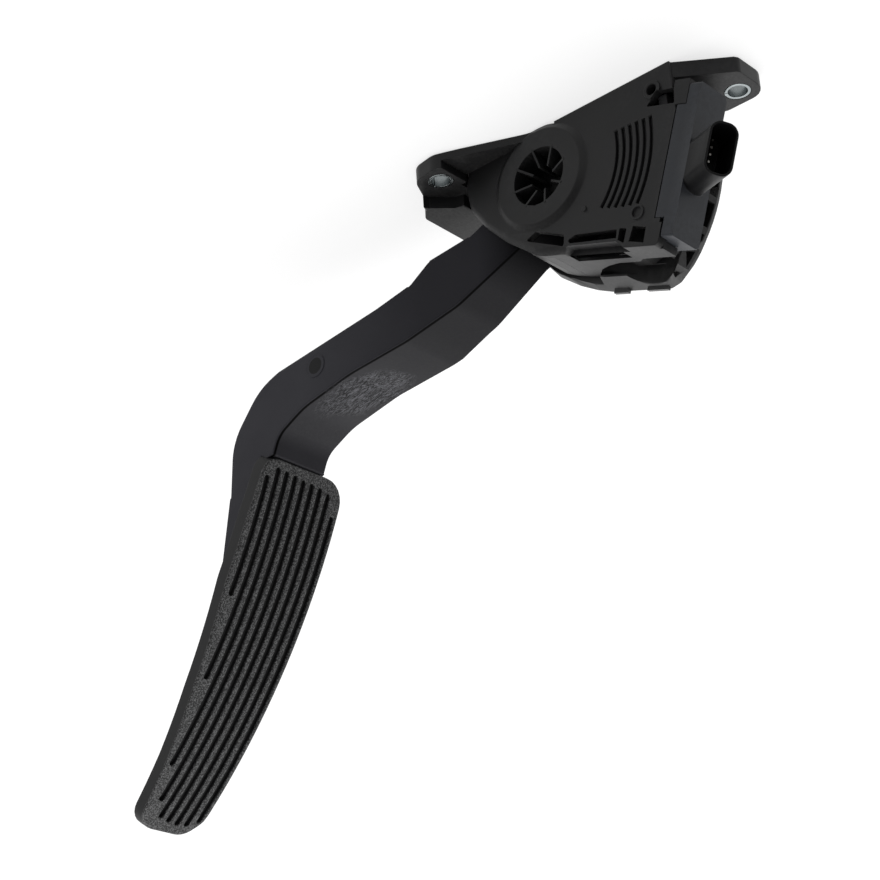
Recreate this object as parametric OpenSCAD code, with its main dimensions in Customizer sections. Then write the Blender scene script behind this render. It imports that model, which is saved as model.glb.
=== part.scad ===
/* [Housing] */
// Width of the housing across its two side walls
housing_w = 28; // [24:0.5:34]
// Thickness of the moulded walls
wall = 2.5; // [1.8:0.1:3]
// Height of the pivot axis above the mounting face
pivot_z = 19.5; // [19:0.5:22]
// Thickness of the floor between the ears
floor_t = 3; // [2:0.5:3]
// Radius of the curved end wall around the pivot
end_r = 58; // [57:0.5:62]
// Distance from the pivot to the flat end wall under the sensor
flat_end = 54; // [53:0.2:56]
// Tilt of the sensor end of the housing
sensor_tilt = 20; // [16:1:22]
// Depth of the stepped rail along the lower edge of the near wall
rail_step = 5.9; // [4:0.1:7]

/* [Mounting] */
// Thickness of the two mounting ears
ear_t = 6.1; // [5:0.1:8]
// Height of the block behind the left ear
block_z = 11; // [8:0.5:12]
// Radius of the clearance for the screw head
head_r = 10.8; // [9.6:0.1:11.5]
// Inner radius of the steel sleeves
sleeve_r = 3.4; // [2.7:0.1:3.6]
// Wall of the steel sleeves
sleeve_wall = 1.1; // [0.8:0.1:1.4]
// Sideways place of the left screw
left_hole_x = 21.2; // [20:0.2:24]
// Place of the left screw along the housing
left_hole_y = 39.2; // [38:0.2:41]
// Sideways place of the right screw
right_hole_x = -10.1; // [-12:0.1:-8]
// Place of the right screw along the housing
right_hole_y = -67.5; // [-69:0.5:-66]

/* [Pivot] */
// Outer radius of the raised ring on the near wall
ring_r = 18.6; // [17:0.2:20]
// Height of the raised ring
ring_h = 1.6; // [0.8:0.2:2.4]
// Radius of the cored recess in the stub axles
recess_r = 10.9; // [9:0.1:11.5]
// Wall of the stub axles
stub_wall = 1.7; // [1.2:0.1:2]
// Number of thin webs in the recess
webs = 8; // [6:1:10]
// Thickness of the webs
web_t = 0.8; // [0.6:0.1:1.2]
// Radial clearance between the arm's hub and the stub axles
pivot_gap = 0.06; // [0.03:0.01:0.09]

/* [Cooling grooves] */
// Number of arc grooves on the near wall
grooves = 6; // [3:1:6]
// Radius of the innermost groove
groove_r = 33; // [32:0.5:35]
// Distance from groove to groove
groove_pitch = 2.85; // [2.4:0.05:3]
// Width of a groove
groove_w = 1.3; // [0.8:0.1:1.6]
// Depth of a groove
groove_d = 1.4; // [0.6:0.1:1.5]

/* [Arm] */
// Width of the hub between the walls
hub_gap = 0.3; // [0.2:0.05:0.5]
// Wall of the hub around the stub axles
hub_wall = 2.8; // [2:0.1:3]
// Near face of the blade, from the middle of the housing
blade_near = 10; // [9:0.2:10.4]
// Far face of the blade beside the hub
blade_far = 9; // [8:0.2:10]
// Far face of the blade at the bend
bend_far = 17.5; // [15:0.5:20]
// Skin of the cored blade
blade_skin = 3; // [2:0.2:4]
// Thickness of the cross ribs in the blade
rib_t = 2; // [1.4:0.2:3]
// Number of cross ribs in the blade
blade_ribs = 7; // [4:1:9]

/* [Pad] */
// Radius of the convex tread
pad_r = 275.5; // [250:5:300]
// Length of the tread along its curve
pad_len = 148.5; // [142:0.5:152]
// Widest width of the tread
pad_w = 43; // [40:0.5:46]
// Width of the tread at its free end
pad_end_w = 28.5; // [26:0.5:34]
// Thickness of the rubber around the plate
pad_t = 6; // [5:0.2:7]
// Depth of the pocket that takes the arm's plate
plate_t = 3; // [2:0.2:3.4]
// Rubber left around the plate
pad_rim = 3; // [2:0.2:5]
// Number of tread grooves
tread_grooves = 9; // [5:1:9]
// Distance from tread groove to tread groove
tread_pitch = 4.5; // [3.8:0.1:4.6]
// Width of a tread groove
tread_w = 2.2; // [1.2:0.1:2.6]
// Depth of a tread groove
tread_d = 1.8; // [1:0.1:2.2]

/* [Springs] */
// Wire of the outer return spring
outer_wire = 1.8; // [1.4:0.1:2]
// Mean radius of the outer return spring
outer_spring_r = 8; // [7.6:0.1:8.2]
// Wire of the inner return spring
inner_wire = 1.2; // [1:0.1:1.4]
// Mean radius of the inner return spring
inner_spring_r = 4.8; // [4.4:0.1:5]
// Distance of the springs from the pivot
spring_y = 32; // [30:0.5:33]
// Length of the springs at rest
spring_len = 29.5; // [28:0.5:30]

/* [Sensor] */
// Thickness of the sensor module across the housing
module_w = 14.5; // [13:0.5:15]
// Depth of the sensor module
module_d = 8.7; // [8:0.1:10]
// Upper end of the module from the pivot line
module_top = 28.8; // [27:0.2:29]
// Lower end of the module from the pivot line
module_bottom = 25.5; // [23:0.5:26]
// Wall of the sensor module
module_wall = 1.5; // [1.2:0.1:1.8]
// Turn of the connector towards the near side
connector_turn = 33; // [20:1:40]
// Length of the connector shroud from the module's corner
connector_len = 19; // [17:0.5:24]
// Outer width of the connector shroud
connector_w = 10; // [9.4:0.1:12]
// Outer height of the connector shroud
connector_h = 18.4; // [17.4:0.2:20]
// Wall of the connector shroud
connector_wall = 0.9; // [0.8:0.1:1.2]
// Number of terminals
pins = 6; // [4:1:6]
// Distance from terminal to terminal
pin_pitch = 2.5; // [2:0.1:2.6]
// Thickness of a terminal
pin_t = 0.64; // [0.5:0.02:1]

/* [Hidden] */

// Steps of a full circle for true round shapes, and of a corner's arc
round_steps = 96;
corner_steps = 6;
// Overlap that keeps cuts from ending on a face
over = 1;
// Gap between pieces that seat on each other
seat = 0.1;

// Half widths and planes of the housing
near_x = housing_w / 2;
far_x = -housing_w / 2;
inner_x = near_x - wall;
cover_x = far_x + wall;
rail_x = near_x - rail_step;
pivot = [0, pivot_z];
module_x0 = near_x - module_w;

// Frame of the sensor end: u runs away from the pivot, v runs away from the base
along_u = [-cos(sensor_tilt), sin(sensor_tilt)];
along_v = [sin(sensor_tilt), cos(sensor_tilt)];
function uv(u, v) = pivot + u * along_u + v * along_v;

// Geometry of rounded outlines: each corner is [y, z, radius]
function unit(v) = v / norm(v);
function place(p) = [p.x, p.y];
function corner(before, at, after, r) =
    let (
        a = unit(before - at),
        b = unit(after - at),
        half = acos(a * b) / 2,
        reach = min(r / tan(half), 0.48 * norm(before - at), 0.48 * norm(after - at)),
        middle = at + unit(a + b) * reach / cos(half),
        from = at + a * reach - middle,
        to = at + b * reach - middle,
        start = atan2(from.y, from.x),
        turn = atan2(cross(from, to), from * to)
    )
    [for (k = [0 : corner_steps])
        middle + norm(from) * [cos(start + turn * k / corner_steps),
                               sin(start + turn * k / corner_steps)]];
function rounded(c) =
    let (n = len(c))
    [for (i = [0 : n - 1])
        let (at = place(c[i]), r = c[i][2])
        each r > 0 ? corner(place(c[(i + n - 1) % n]), at, place(c[(i + 1) % n]), r) : [at]];
// Corners moved inwards by a wall, for outlines that run counter-clockwise
function inset(c, t) =
    let (n = len(c))
    [for (i = [0 : n - 1])
        let (
            d1 = unit(place(c[i]) - place(c[(i + n - 1) % n])),
            d2 = unit(place(c[(i + 1) % n]) - place(c[i])),
            n1 = [-d1.y, d1.x],
            n2 = [-d2.y, d2.x],
            shift = t * (n1 + n2) / (1 + n1 * n2)
        )
        [c[i].x + shift.x, c[i].y + shift.y, max(c[i][2] - t, 0)]];

// Slab between two planes across the housing, from an outline in y and z
module slab(x0, x1) {
    translate([x0, 0, 0])
        rotate([90, 0, 90])
            linear_extrude(x1 - x0) children();
}
// Round bar across the housing around a point in y and z
module bar(x0, x1, at, r) {
    translate([x0, at.x, at.y])
        rotate([0, 90, 0])
            cylinder(h = x1 - x0, r = r, $fn = round_steps);
}
// Things laid out in the sensor frame: x across, y along u, z along v
module in_sensor_frame() {
    multmatrix([[1, 0, 0, 0],
                [0, along_u.x, along_v.x, pivot.x],
                [0, along_u.y, along_v.y, pivot.y],
                [0, 0, 0, 1]])
        children();
}

// Outline of the near wall
lower_v = 28;
corner_u = 56.5;
step_v = 18.8;
arm_end_y = 34;
tail_end_y = -57;
near_outline = [
    [tail_end_y, 0, 0],
    [arm_end_y, 0, 0],
    [arm_end_y + 0.8, 8, 6],
    [32.6, 17, 12],
    [26.2, 26.2, 16],
    [17.8, 35.7, 30],
    [4.7, 46.4, 20],
    concat(uv(19.3, lower_v), 12),
    concat(uv(corner_u, lower_v), 1.5),
    concat(uv(corner_u, step_v), 0),
    concat(uv(flat_end, step_v), 0),
    concat(uv(flat_end, -20), 2)
];
// Outline of the far half: a curved end wall and the belly
function on_end(a) = pivot + end_r * [-cos(a), sin(a)];
end_low = -15;
end_high = 52;
belly = [
    [-29.4, 65.9, 3],
    [-21.6, 63.1, 6],
    [-8.3, 58.3, 8],
    [2, 51.5, 12],
    [12, 44.2, 12],
    [18.5, 38.6, 16],
    [26.2, 26.2, 16],
    [32.6, 17, 12],
    [arm_end_y + 0.8, 8, 6]
];
end_steps = 18;
function end_arc() = [for (k = [0 : end_steps])
    let (p = on_end(end_high + (end_low - end_high) * k / end_steps)) [p.x, p.y, 0]];
far_outline = concat([[tail_end_y, 0, 0], [arm_end_y, 0, 0]],
    [for (i = [len(belly) - 1 : -1 : 0]) belly[i]], end_arc());

// Openings of the near wall, as outlines in y and z
window_left = [[9.4, 41.3, 0.6], [-7.1, 50.6, 0.8], [-7.6, 45.9, 0.6], [4.5, 39.2, 0.8]];
window_long = [[-9.2, 46.3, 2], [-9.9, 51.4, 0.8], [-28.9, 57.8, 0.5], [-29.4, 53.5, 0.5]];
window_slim = [[-30.6, 53.9, 0.4], [-31.8, 58.6, 0.4], [-34.3, 59.5, 0.4], [-33.2, 54.6, 0.4]];
window_clip = [[-35.9, 55.3, 0.4], [-34.4, 60.3, 0.4], [-39.6, 62.2, 0.4], [-40.9, 57.3, 0.4]];
window_top = [[-45.9, 13, 0.5], [-57.1, 16.8, 0.5], [-57.8, 11.1, 0.5], [-51.4, 9.2, 0.5]];
top_ring_at = [-49.3, 7.9];
low_ring_at = [-38.1, 50.7];
dot_at = [-16.9, 39.9];

module round_window(points, x0, x1) {
    slab(x0, x1) polygon(rounded(points));
}

module arc_groove(i) {
    r = groove_r + groove_pitch * i;
    from = -6 + 0.6 * i;
    to = 44 - 1.6 * i;
    span = to - from;
    translate([near_x - groove_d, 0, pivot_z])
        rotate([180 - from - span, 0, 0])
            rotate([90, 0, 90])
                rotate_extrude(angle = span, $fn = round_steps)
                    translate([r - groove_w / 2, 0])
                        square([groove_w, groove_d + over]);
}

// Ring with its soft slope, and the stub axle on the inner side
module stub(from_x, to_x) {
    bar(min(from_x, to_x), max(from_x, to_x), pivot, recess_r + stub_wall);
}
stub_end = 2;
stub_floor = 1.6;
web_inner = 4.6;
web_proud = 0.5;
web_slope = 2.2;
module webs_in(mouth_x, floor_x, way) {
    for (i = [0 : webs - 1])
        translate([0, 0, pivot_z])
            rotate([360 * i / webs + 9, 0, 0])
                slab_web(mouth_x, floor_x, way);
}
module slab_web(mouth_x, floor_x, way) {
    translate([0, web_t / 2, 0])
        rotate([90, 0, 0])
            linear_extrude(web_t)
                polygon([[floor_x - way * seat, web_inner], [floor_x - way * seat, recess_r + 0.6],
                    [mouth_x, recess_r + 0.6], [mouth_x - way * web_slope, web_inner]]);
}

// Base with its two ears
left_hole = [left_hole_x, left_hole_y];
right_hole = [right_hole_x, right_hole_y];
ear_r = sleeve_r + sleeve_wall + 2.8;
left_end_y = 50.2;
lip_y = 41;
base_outline = [
    [far_x, -50, 4],
    [right_hole.x - ear_r, right_hole.y + 9, 6],
    [right_hole.x - ear_r, right_hole.y - ear_r, 6],
    [right_hole.x + 9.4, right_hole.y - ear_r, 2.5],
    [near_x, -55.5, 3],
    [near_x, 2, 20],
    [left_hole.x + ear_r + 0.6, left_hole.y - 3.5, 7],
    [left_hole.x + ear_r - 1, left_hole.y + ear_r - 0.6, 6],
    [near_x + 4, left_end_y, 2],
    [near_x - 0.5, left_end_y, 3],
    [near_x - 5, left_end_y - 4.5, 4],
    [near_x - 6.4, lip_y, 0],
    [far_x, lip_y, 2]
];
left_ear_y = 33;
right_ear_y = -54;
lip_t = 2;

module base() {
    linear_extrude(floor_t) polygon(rounded(base_outline));
    linear_extrude(ear_t)
        intersection() {
            polygon(rounded(base_outline));
            union() {
                translate([-60, left_ear_y]) square([120, 40]);
                translate([-60, right_ear_y - 40]) square([120, 40]);
            }
        }
    linear_extrude(block_z)
        difference() {
            intersection() {
                polygon(rounded(base_outline));
                translate([far_x, left_ear_y]) square([housing_w + 5, left_end_y - left_ear_y + over]);
            }
            intersection() {
                polygon(rounded(inset(base_outline, lip_t)));
                translate([far_x, 0]) square([housing_w + 10, left_end_y]);
            }
            translate(left_hole) circle(head_r, $fn = round_steps);
        }
}

// Windows in the curved end wall, as pairs of angles
end_windows = [[12, 22], [24.5, 33], [35.5, 39.5], [43, 50]];
end_window_x0 = cover_x + 1;
end_window_x1 = module_x0 - seat - wall - 0.3;

module end_window(a0, a1) {
    slab(end_window_x0, end_window_x1)
        polygon([pivot + (end_r - 2 * wall) * [-cos(a0), sin(a0)],
                 pivot + (end_r + wall) * [-cos(a0), sin(a0)],
                 pivot + (end_r + wall) * [-cos(a1), sin(a1)],
                 pivot + (end_r - 2 * wall) * [-cos(a1), sin(a1)]]);
}

// Way out for the arm between the side walls
module arm_way() {
    slab(cover_x - over, inner_x)
        polygon([[8, 41.2], [12.5, 47], [16, 60], [60, 60], [60, block_z + 0.5],
            [left_ear_y - 1.5, block_z + 0.5], [left_ear_y - 3, floor_t], [0, floor_t]]);
}

// Opening in the belly above the friction shoe
belly_y0 = -45.5;
belly_y1 = -24;
belly_x1 = 4.7;

// Retaining hook that holds the upper end of the sensor module
corner_deep = 10.5;
corner_len = 10.5;
tab_u = 58;
tab_v = -30.4;
tab_len = 9;
tab_deep = 4;
module sensor_tab() {
    in_sensor_frame()
        translate([near_x - tab_deep, flat_end - wall, tab_v])
            cube([tab_deep, tab_u - flat_end + wall, tab_len]);
}

module housing() {
    color([0.16, 0.16, 0.165])
    difference() {
        union() {
            difference() {
                union() {
                    slab(rail_x, near_x) polygon(rounded(near_outline));
                    slab(cover_x, rail_x) polygon(rounded(far_outline));
                }
                slab(rail_x - over, inner_x)
                    intersection() {
                        polygon(rounded(inset(near_outline, wall)));
                        translate([-80, floor_t]) square([160, 80]);
                    }
                slab(cover_x - over, rail_x - wall)
                    intersection() {
                        polygon(rounded(inset(far_outline, wall)));
                        translate([-80, floor_t]) square([160, 80]);
                    }
                slab(rail_x - wall - over, rail_x)
                    intersection() {
                        polygon(rounded(inset(near_outline, wall)));
                        polygon(rounded(inset(far_outline, wall)));
                        translate([-80, floor_t]) square([160, 80]);
                    }
                arm_way();
                translate([cover_x - over, belly_y0, pivot_z + end_r / 2])
                    cube([belly_x1 - cover_x + over, belly_y1 - belly_y0, end_r]);
                for (w = end_windows) end_window(w[0], w[1]);
            }
            intersection() {
                slab(cover_x, rail_x + over) polygon(rounded(far_outline));
                in_sensor_frame() {
                    translate([module_x0 - seat - wall, flat_end - wall, -end_r])
                        cube([rail_x - module_x0 + seat + 2 * wall, wall, 2 * end_r]);
                    translate([module_x0 - seat - wall, flat_end - wall, -end_r])
                        cube([wall, end_r, 2 * end_r]);
                }
            }
            base();
            stub(stub_end, near_x);
            translate([near_x, 0, pivot_z])
                rotate([0, 90, 0])
                    cylinder(h = ring_h, r1 = ring_r + 1.6, r2 = ring_r - 0.6, $fn = round_steps);
            sensor_tab();
            in_sensor_frame()
                translate([near_x - corner_deep, corner_u - corner_len, module_bottom + 3 * seat])
                    cube([corner_deep - rail_step + over, corner_len, lower_v - module_bottom - 3 * seat]);
            translate([near_x - over, top_ring_at.x, top_ring_at.y])
                rotate([0, 90, 0]) cylinder(h = over + 0.7, r = 3.4, $fn = round_steps);
            translate([near_x - over, low_ring_at.x, low_ring_at.y])
                rotate([0, 90, 0]) cylinder(h = over + 0.5, r = 2.7, $fn = round_steps);
            translate([near_x - over, dot_at.x, dot_at.y])
                rotate([0, 90, 0]) cylinder(h = over + 0.6, r = 1, $fn = round_steps);
        }
        in_sensor_frame()
            translate([module_x0 - seat, flat_end, -module_top - seat])
                cube([module_w - tab_deep + seat, end_r, module_top + module_bottom + 2 * seat]);
        bar(stub_end + stub_floor, near_x + ring_h + over, pivot, recess_r);
        for (i = [0 : grooves - 1]) arc_groove(i);
        round_window(window_left, inner_x - over, near_x + over);
        round_window(window_long, inner_x - over, near_x + over);
        round_window(window_slim, inner_x - over, near_x + over);
        round_window(window_clip, inner_x - over, near_x + over);
        round_window(window_top, inner_x - over, near_x + over);
        bar(inner_x - over, near_x + 2 * over, top_ring_at, 2);
        bar(near_x - 0.4, near_x + over, low_ring_at, 1.9);
        for (h = [left_hole, right_hole])
            translate([h.x, h.y, -over])
                cylinder(h = ear_t + 2 * over, r = sleeve_r + sleeve_wall + seat / 2, $fn = round_steps);
    }
    color([0.16, 0.16, 0.165])
        webs_in(near_x + ring_h + 0.2, stub_end + stub_floor, 1);
}

// Far cover with its own stub axle
cover_lip = 1.2;
module far_cover() {
    color([0.15, 0.15, 0.155])
    difference() {
        union() {
            difference() {
                slab(far_x, cover_x - seat) polygon(rounded(inset(far_outline, cover_lip)));
                translate([far_x - over, -80, -over]) cube([wall + 2 * over, 160, floor_t + over + seat]);
                translate([far_x - over, left_ear_y - seat, 0]) cube([wall + 2 * over, 20, 40]);
            }
            stub(cover_x - wall, -stub_end);
        }
        bar(far_x - over, -stub_end - stub_floor, pivot, recess_r);
    }
    color([0.15, 0.15, 0.155])
        webs_in(far_x, -stub_end - stub_floor, -1);
}

// Rolled steel sleeve with its butt seam
seam_w = 0.3;
module sleeve_at(h, turn) {
    color([0.78, 0.79, 0.8])
    translate([h.x, h.y, 0])
        difference() {
            cylinder(h = ear_t, r = sleeve_r + sleeve_wall, $fn = round_steps);
            translate([0, 0, -over]) cylinder(h = ear_t + 2 * over, r = sleeve_r, $fn = round_steps);
            rotate([0, 0, turn])
                translate([0, -seam_w / 2, -over]) cube([3 * sleeve_r, seam_w, ear_t + 2 * over]);
        }
}
module sleeve_left() { sleeve_at(left_hole, 100); }
module sleeve_right() { sleeve_at(right_hole, 60); }

// Tread: its front is a cylinder around a far centre, starting at the bend of the arm
tread_start = [138.2, 75.3];
start_lean = 20.66;
tread_turn = pad_len / pad_r * 180 / PI;
tread_middle = tread_start + pad_r * [cos(start_lean), -sin(start_lean)];
chord_lean = start_lean + tread_turn / 2;
chord_len = 2 * pad_r * sin(tread_turn / 2);
pad_edge_x = -29.2;
module tread_shell(r_out, r_in) {
    difference() {
        bar(-60, 60, tread_middle, r_out);
        bar(-61, 61, tread_middle, r_in);
    }
}
// Frame of the tread: x across, y out of its face, z along its chord from the bend
module in_tread_frame() {
    translate([0, tread_start.x, tread_start.y])
        rotate([-chord_lean, 0, 0])
            children();
}
// Outline of the tread seen from its face: [x, along the chord, radius]
tread_outline = [
    [pad_edge_x, 0, 9],
    [pad_edge_x + pad_w - 1.5, 0, 7],
    [pad_edge_x + pad_w, 24, 30],
    [pad_edge_x + pad_w, 48, 30],
    [pad_edge_x + pad_end_w + 9.1, 90, 50],
    [pad_edge_x + pad_end_w + 4.4, 118, 30],
    [pad_edge_x + pad_end_w + 0.4, chord_len, 9],
    [pad_edge_x + 5, chord_len, 8],
    [pad_edge_x, chord_len - 9, 10]
];
tread_deep = 60;
module tread_prism(points) {
    in_tread_frame()
        translate([0, tread_deep / 2, 0])
            rotate([90, 0, 0])
                linear_extrude(tread_deep) polygon(rounded(points));
}
// Right edge of the groove field and the ends of each groove
tread_first = pad_edge_x + 2.8;
tread_lengths = [[14, chord_len - 8], [6.5, chord_len - 5.5], [5.5, chord_len - 5], [5, chord_len - 5.5],
    [5, chord_len - 6.5], [4.5, chord_len - 13], [4.2, 119], [4, 84], [8, 52]];
module tread_cut(i) {
    from = tread_lengths[i][0];
    to = tread_lengths[i][1];
    in_tread_frame()
        translate([tread_first + tread_pitch * i, tread_deep / 2, from])
            rotate([90, 0, 0])
                linear_extrude(tread_deep) {
                    translate([-tread_w / 2, 0]) square([tread_w, to - from]);
                    circle(tread_w / 2, $fn = round_steps);
                    translate([0, to - from]) circle(tread_w / 2, $fn = round_steps);
                }
}
module pedal_pad() {
    color([0.13, 0.13, 0.135])
    difference() {
        intersection() {
            tread_prism(tread_outline);
            tread_shell(pad_r, pad_r - pad_t);
        }
        intersection() {
            tread_prism(inset(tread_outline, pad_rim - seat));
            tread_shell(pad_r - pad_t + plate_t + seat, pad_r - pad_t - over);
        }
        difference() {
            union() for (i = [0 : tread_grooves - 1]) tread_cut(i);
            bar(-60, 60, tread_middle, pad_r - tread_d);
        }
    }
}

// Side outline of the arm's blade, counter-clockwise
blade = [
    [4, 22, 0],
    [30, 22.6, 6],
    [37, 25.2, 8],
    [57, 27, 4],
    [66.5, 32.8, 8],
    [83, 35.8, 14],
    [142.5, 43, 24],
    [159, 62, 22],
    [160.6, 84, 30],
    [167, 118, 4],
    [158.5, 112, 1],
    [tread_start.x + 4.8, tread_start.y + 0.2, 2],
    [tread_start.x - 0.4, tread_start.y - 0.9, 1],
    [134.8, 67.4, 12],
    [122, 61, 30],
    [98, 56.2, 50],
    [70, 54, 40],
    [45, 49.6, 30],
    [14.5, 38.4, 12],
    [0, 33, 0]
];
// Plan of the blade: its far face spreads towards the bend
plan = [
    [-blade_far, -20],
    [blade_near, -20],
    [blade_near, 240],
    [-bend_far, 240],
    [-bend_far, 66],
    [-14, 50],
    [-10.8, 30],
    [-blade_far, 18]
];
hub_r = recess_r + stub_wall + pivot_gap + hub_wall;
hub_x = inner_x - hub_gap;
// Tail that carries the springs and the magnet
tail_top = 14;
tail_low = 5.8;
tail_y = -51;
tail = [
    [-2, 9, 0],
    [-6, tail_low, 3],
    [tail_y, tail_low, 1.5],
    [tail_y, tail_top, 1.5],
    [-16, tail_top, 4],
    [-11, 24, 3],
    [0, 24, 0]
];
magnet = [8, 3.4, 5];
magnet_at = [2, tail_y, tail_low + 1.6];
plate_proud = 0.6;
pocket_start = 33;
pocket_end = 150;
module arm_pockets() {
    slab(-bend_far - over, blade_near - blade_skin)
        difference() {
            intersection() {
                polygon(rounded(inset(blade, blade_skin)));
                translate([pocket_start, 0]) square([pocket_end - pocket_start, 200]);
            }
            for (i = [1 : blade_ribs])
                translate([pocket_start + (pocket_end - pocket_start) * i / (blade_ribs + 1), 45])
                    rotate(i % 2 == 0 ? 24 : -24)
                        square([rib_t, 120], center = true);
        }
}
module pedal_arm() {
    color([0.17, 0.172, 0.18])
    difference() {
        union() {
            difference() {
                intersection() {
                    slab(-bend_far, blade_near) polygon(rounded(blade));
                    linear_extrude(240) polygon(plan);
                }
                arm_pockets();
                intersection() {
                    tread_prism(inset(tread_outline, -seat));
                    tread_shell(pad_r + over, pad_r - pad_t - seat);
                }
            }
            bar(-hub_x, hub_x, pivot, hub_r);
            slab(-8, 8.5) polygon(rounded(tail));
            intersection() {
                tread_prism(inset(tread_outline, pad_rim));
                tread_shell(pad_r - pad_t + plate_t, pad_r - pad_t - plate_proud);
            }
        }
        bar(-hub_x - over, hub_x + over, pivot, recess_r + stub_wall + pivot_gap);
        translate([magnet_at.x - seat, magnet_at.y - over, magnet_at.z - seat])
            cube([magnet.x + 2 * seat, magnet.y + over + seat, magnet.z + 2 * seat]);
    }
}

module sensor_magnet() {
    color([0.35, 0.35, 0.36])
        translate(magnet_at) cube([magnet.x - 1.6, magnet.y, magnet.z]);
}

// Springs between the seat on the tail and the friction shoe
seat_t = 2.5;
seat_r = 10;
spring_low = tail_top + seat + seat_t;
spring_high = spring_low + spring_len;
boss_h = 4;
module spring_seat() {
    color([0.85, 0.84, 0.8])
        translate([0, -spring_y, tail_top + seat]) {
            cylinder(h = seat_t, r = seat_r, $fn = round_steps);
            cylinder(h = seat_t + boss_h, r = inner_spring_r - inner_wire / 2 - seat, $fn = round_steps);
        }
}
wire_sides = 7;
turn_steps = 16;
module coil(mean_r, wire, turns) {
    low = spring_low + wire / 2 + seat;
    rise = spring_high - wire - 2 * seat - spring_low;
    count = turns * turn_steps;
    rings = [for (k = [0 : count])
        let (
            a = 360 * k / turn_steps,
            t = k / count,
            up = low + rise * (t < 0.1 ? t * 0.35 : t > 0.9 ? 1 - (1 - t) * 0.35 : 0.035 + (t - 0.1) * 1.1625),
            out = [cos(a), sin(a), 0]
        )
        each [for (s = [0 : wire_sides - 1])
            let (b = 360 * s / wire_sides)
            [mean_r * out.x + wire / 2 * cos(b) * out.x,
             mean_r * out.y + wire / 2 * cos(b) * out.y,
             up + wire / 2 * sin(b)]]];
    sides = [for (k = [0 : count - 1], s = [0 : wire_sides - 1])
        let (n = (s + 1) % wire_sides)
        [k * wire_sides + s, k * wire_sides + n, (k + 1) * wire_sides + n, (k + 1) * wire_sides + s]];
    first = [for (s = [wire_sides - 1 : -1 : 0]) s];
    last = [for (s = [0 : wire_sides - 1]) count * wire_sides + s];
    translate([0, -spring_y, 0])
        polyhedron(points = rings, faces = concat(sides, [first], [last]));
}
module return_spring_outer() {
    color([0.6, 0.6, 0.62]) coil(outer_spring_r, outer_wire, 7);
}
module return_spring_inner() {
    color([0.6, 0.6, 0.62]) coil(inner_spring_r, inner_wire, 9);
}

// Friction shoe under the belly, which the springs press outwards
shoe_x = inner_x - 1.5;
module friction_shoe() {
    color([0.3, 0.3, 0.31])
    difference() {
        slab(-shoe_x, shoe_x)
            polygon([[-20, spring_high], concat(uv(30.6, lower_v - wall - seat)),
                uv(50.5, lower_v - wall - seat), [-41.5, spring_high]]);
        bar(-shoe_x - over, 4, [-31, 66], 11);
    }
}

module idle_bumper() {
    color([0.1, 0.1, 0.1])
        translate([-7, -45, floor_t]) cube([14, 9, tail_low - floor_t - 2 * seat]);
}

// Sensor module in the sensor frame
module_u0 = flat_end + 0.3;
module_u1 = module_u0 + module_d;
turned = [sin(connector_turn), cos(connector_turn)];
corner_at = [near_x, module_u1];
axis_at = corner_at + connector_w / 2 * [-cos(connector_turn), sin(connector_turn)];
connector_v = -0.5;
lid_t = 1.2;
board_t = 1.6;
board_u = module_u0 + lid_t + 0.4;
terminal_depth = 11;
module rounded_bar(w, h, r) {
    polygon(rounded([[-w / 2, -h / 2, r], [w / 2, -h / 2, r], [w / 2, h / 2, r], [-w / 2, h / 2, r]]));
}
// Along the connector's axis: x across the shroud, y along v, z out of the mouth
module in_connector_frame() {
    in_sensor_frame()
        multmatrix([[turned.y, 0, turned.x, axis_at.x],
                    [-turned.x, 0, turned.y, axis_at.y],
                    [0, 1, 0, connector_v],
                    [0, 0, 0, 1]])
            children();
}
root_len = 8;
// Faces the module's end: x across, y along v, z along u
module in_face_frame(u) {
    in_sensor_frame()
        multmatrix([[1, 0, 0, 0],
                    [0, 0, 1, u],
                    [0, 1, 0, 0],
                    [0, 0, 0, 1]])
            children();
}
module_outline = [
    [module_x0, -module_top, 1.5],
    [near_x, -module_top, 1],
    [near_x, module_bottom, 1],
    [module_x0, module_bottom, 1.5]
];
// Room inside the module, behind the skin that carries the tab's notch
room_x0 = module_x0 + module_wall;
room_w = near_x - tab_deep - module_wall - room_x0;
room_v0 = -module_top + module_wall;
room_h = module_top + module_bottom - 2 * module_wall;
chip_room = 2.2;
pocket_deep = lid_t + 0.4 + board_t + chip_room;
shroud_deep = 16;
terminal_bend = 4;
module terminal_shape(i, grow) {
    half = pin_t / 2 + grow;
    v = connector_v + (i - (pins - 1) / 2) * pin_pitch;
    foot = board_u + board_t - grow;
    bend_at = axis_at - terminal_bend * turned;
    tip = axis_at + (connector_len - terminal_depth + grow) * turned;
    across = [turned.y, -turned.x];
    miter = half * ([1, 0] + across) / (1 + across.x);
    in_sensor_frame()
        translate([0, 0, v - half])
            linear_extrude(2 * half)
                polygon([[bend_at.x - half, foot], [bend_at.x + half, foot], bend_at + miter,
                    tip + half * across, tip - half * across, bend_at - miter]);
}
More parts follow.
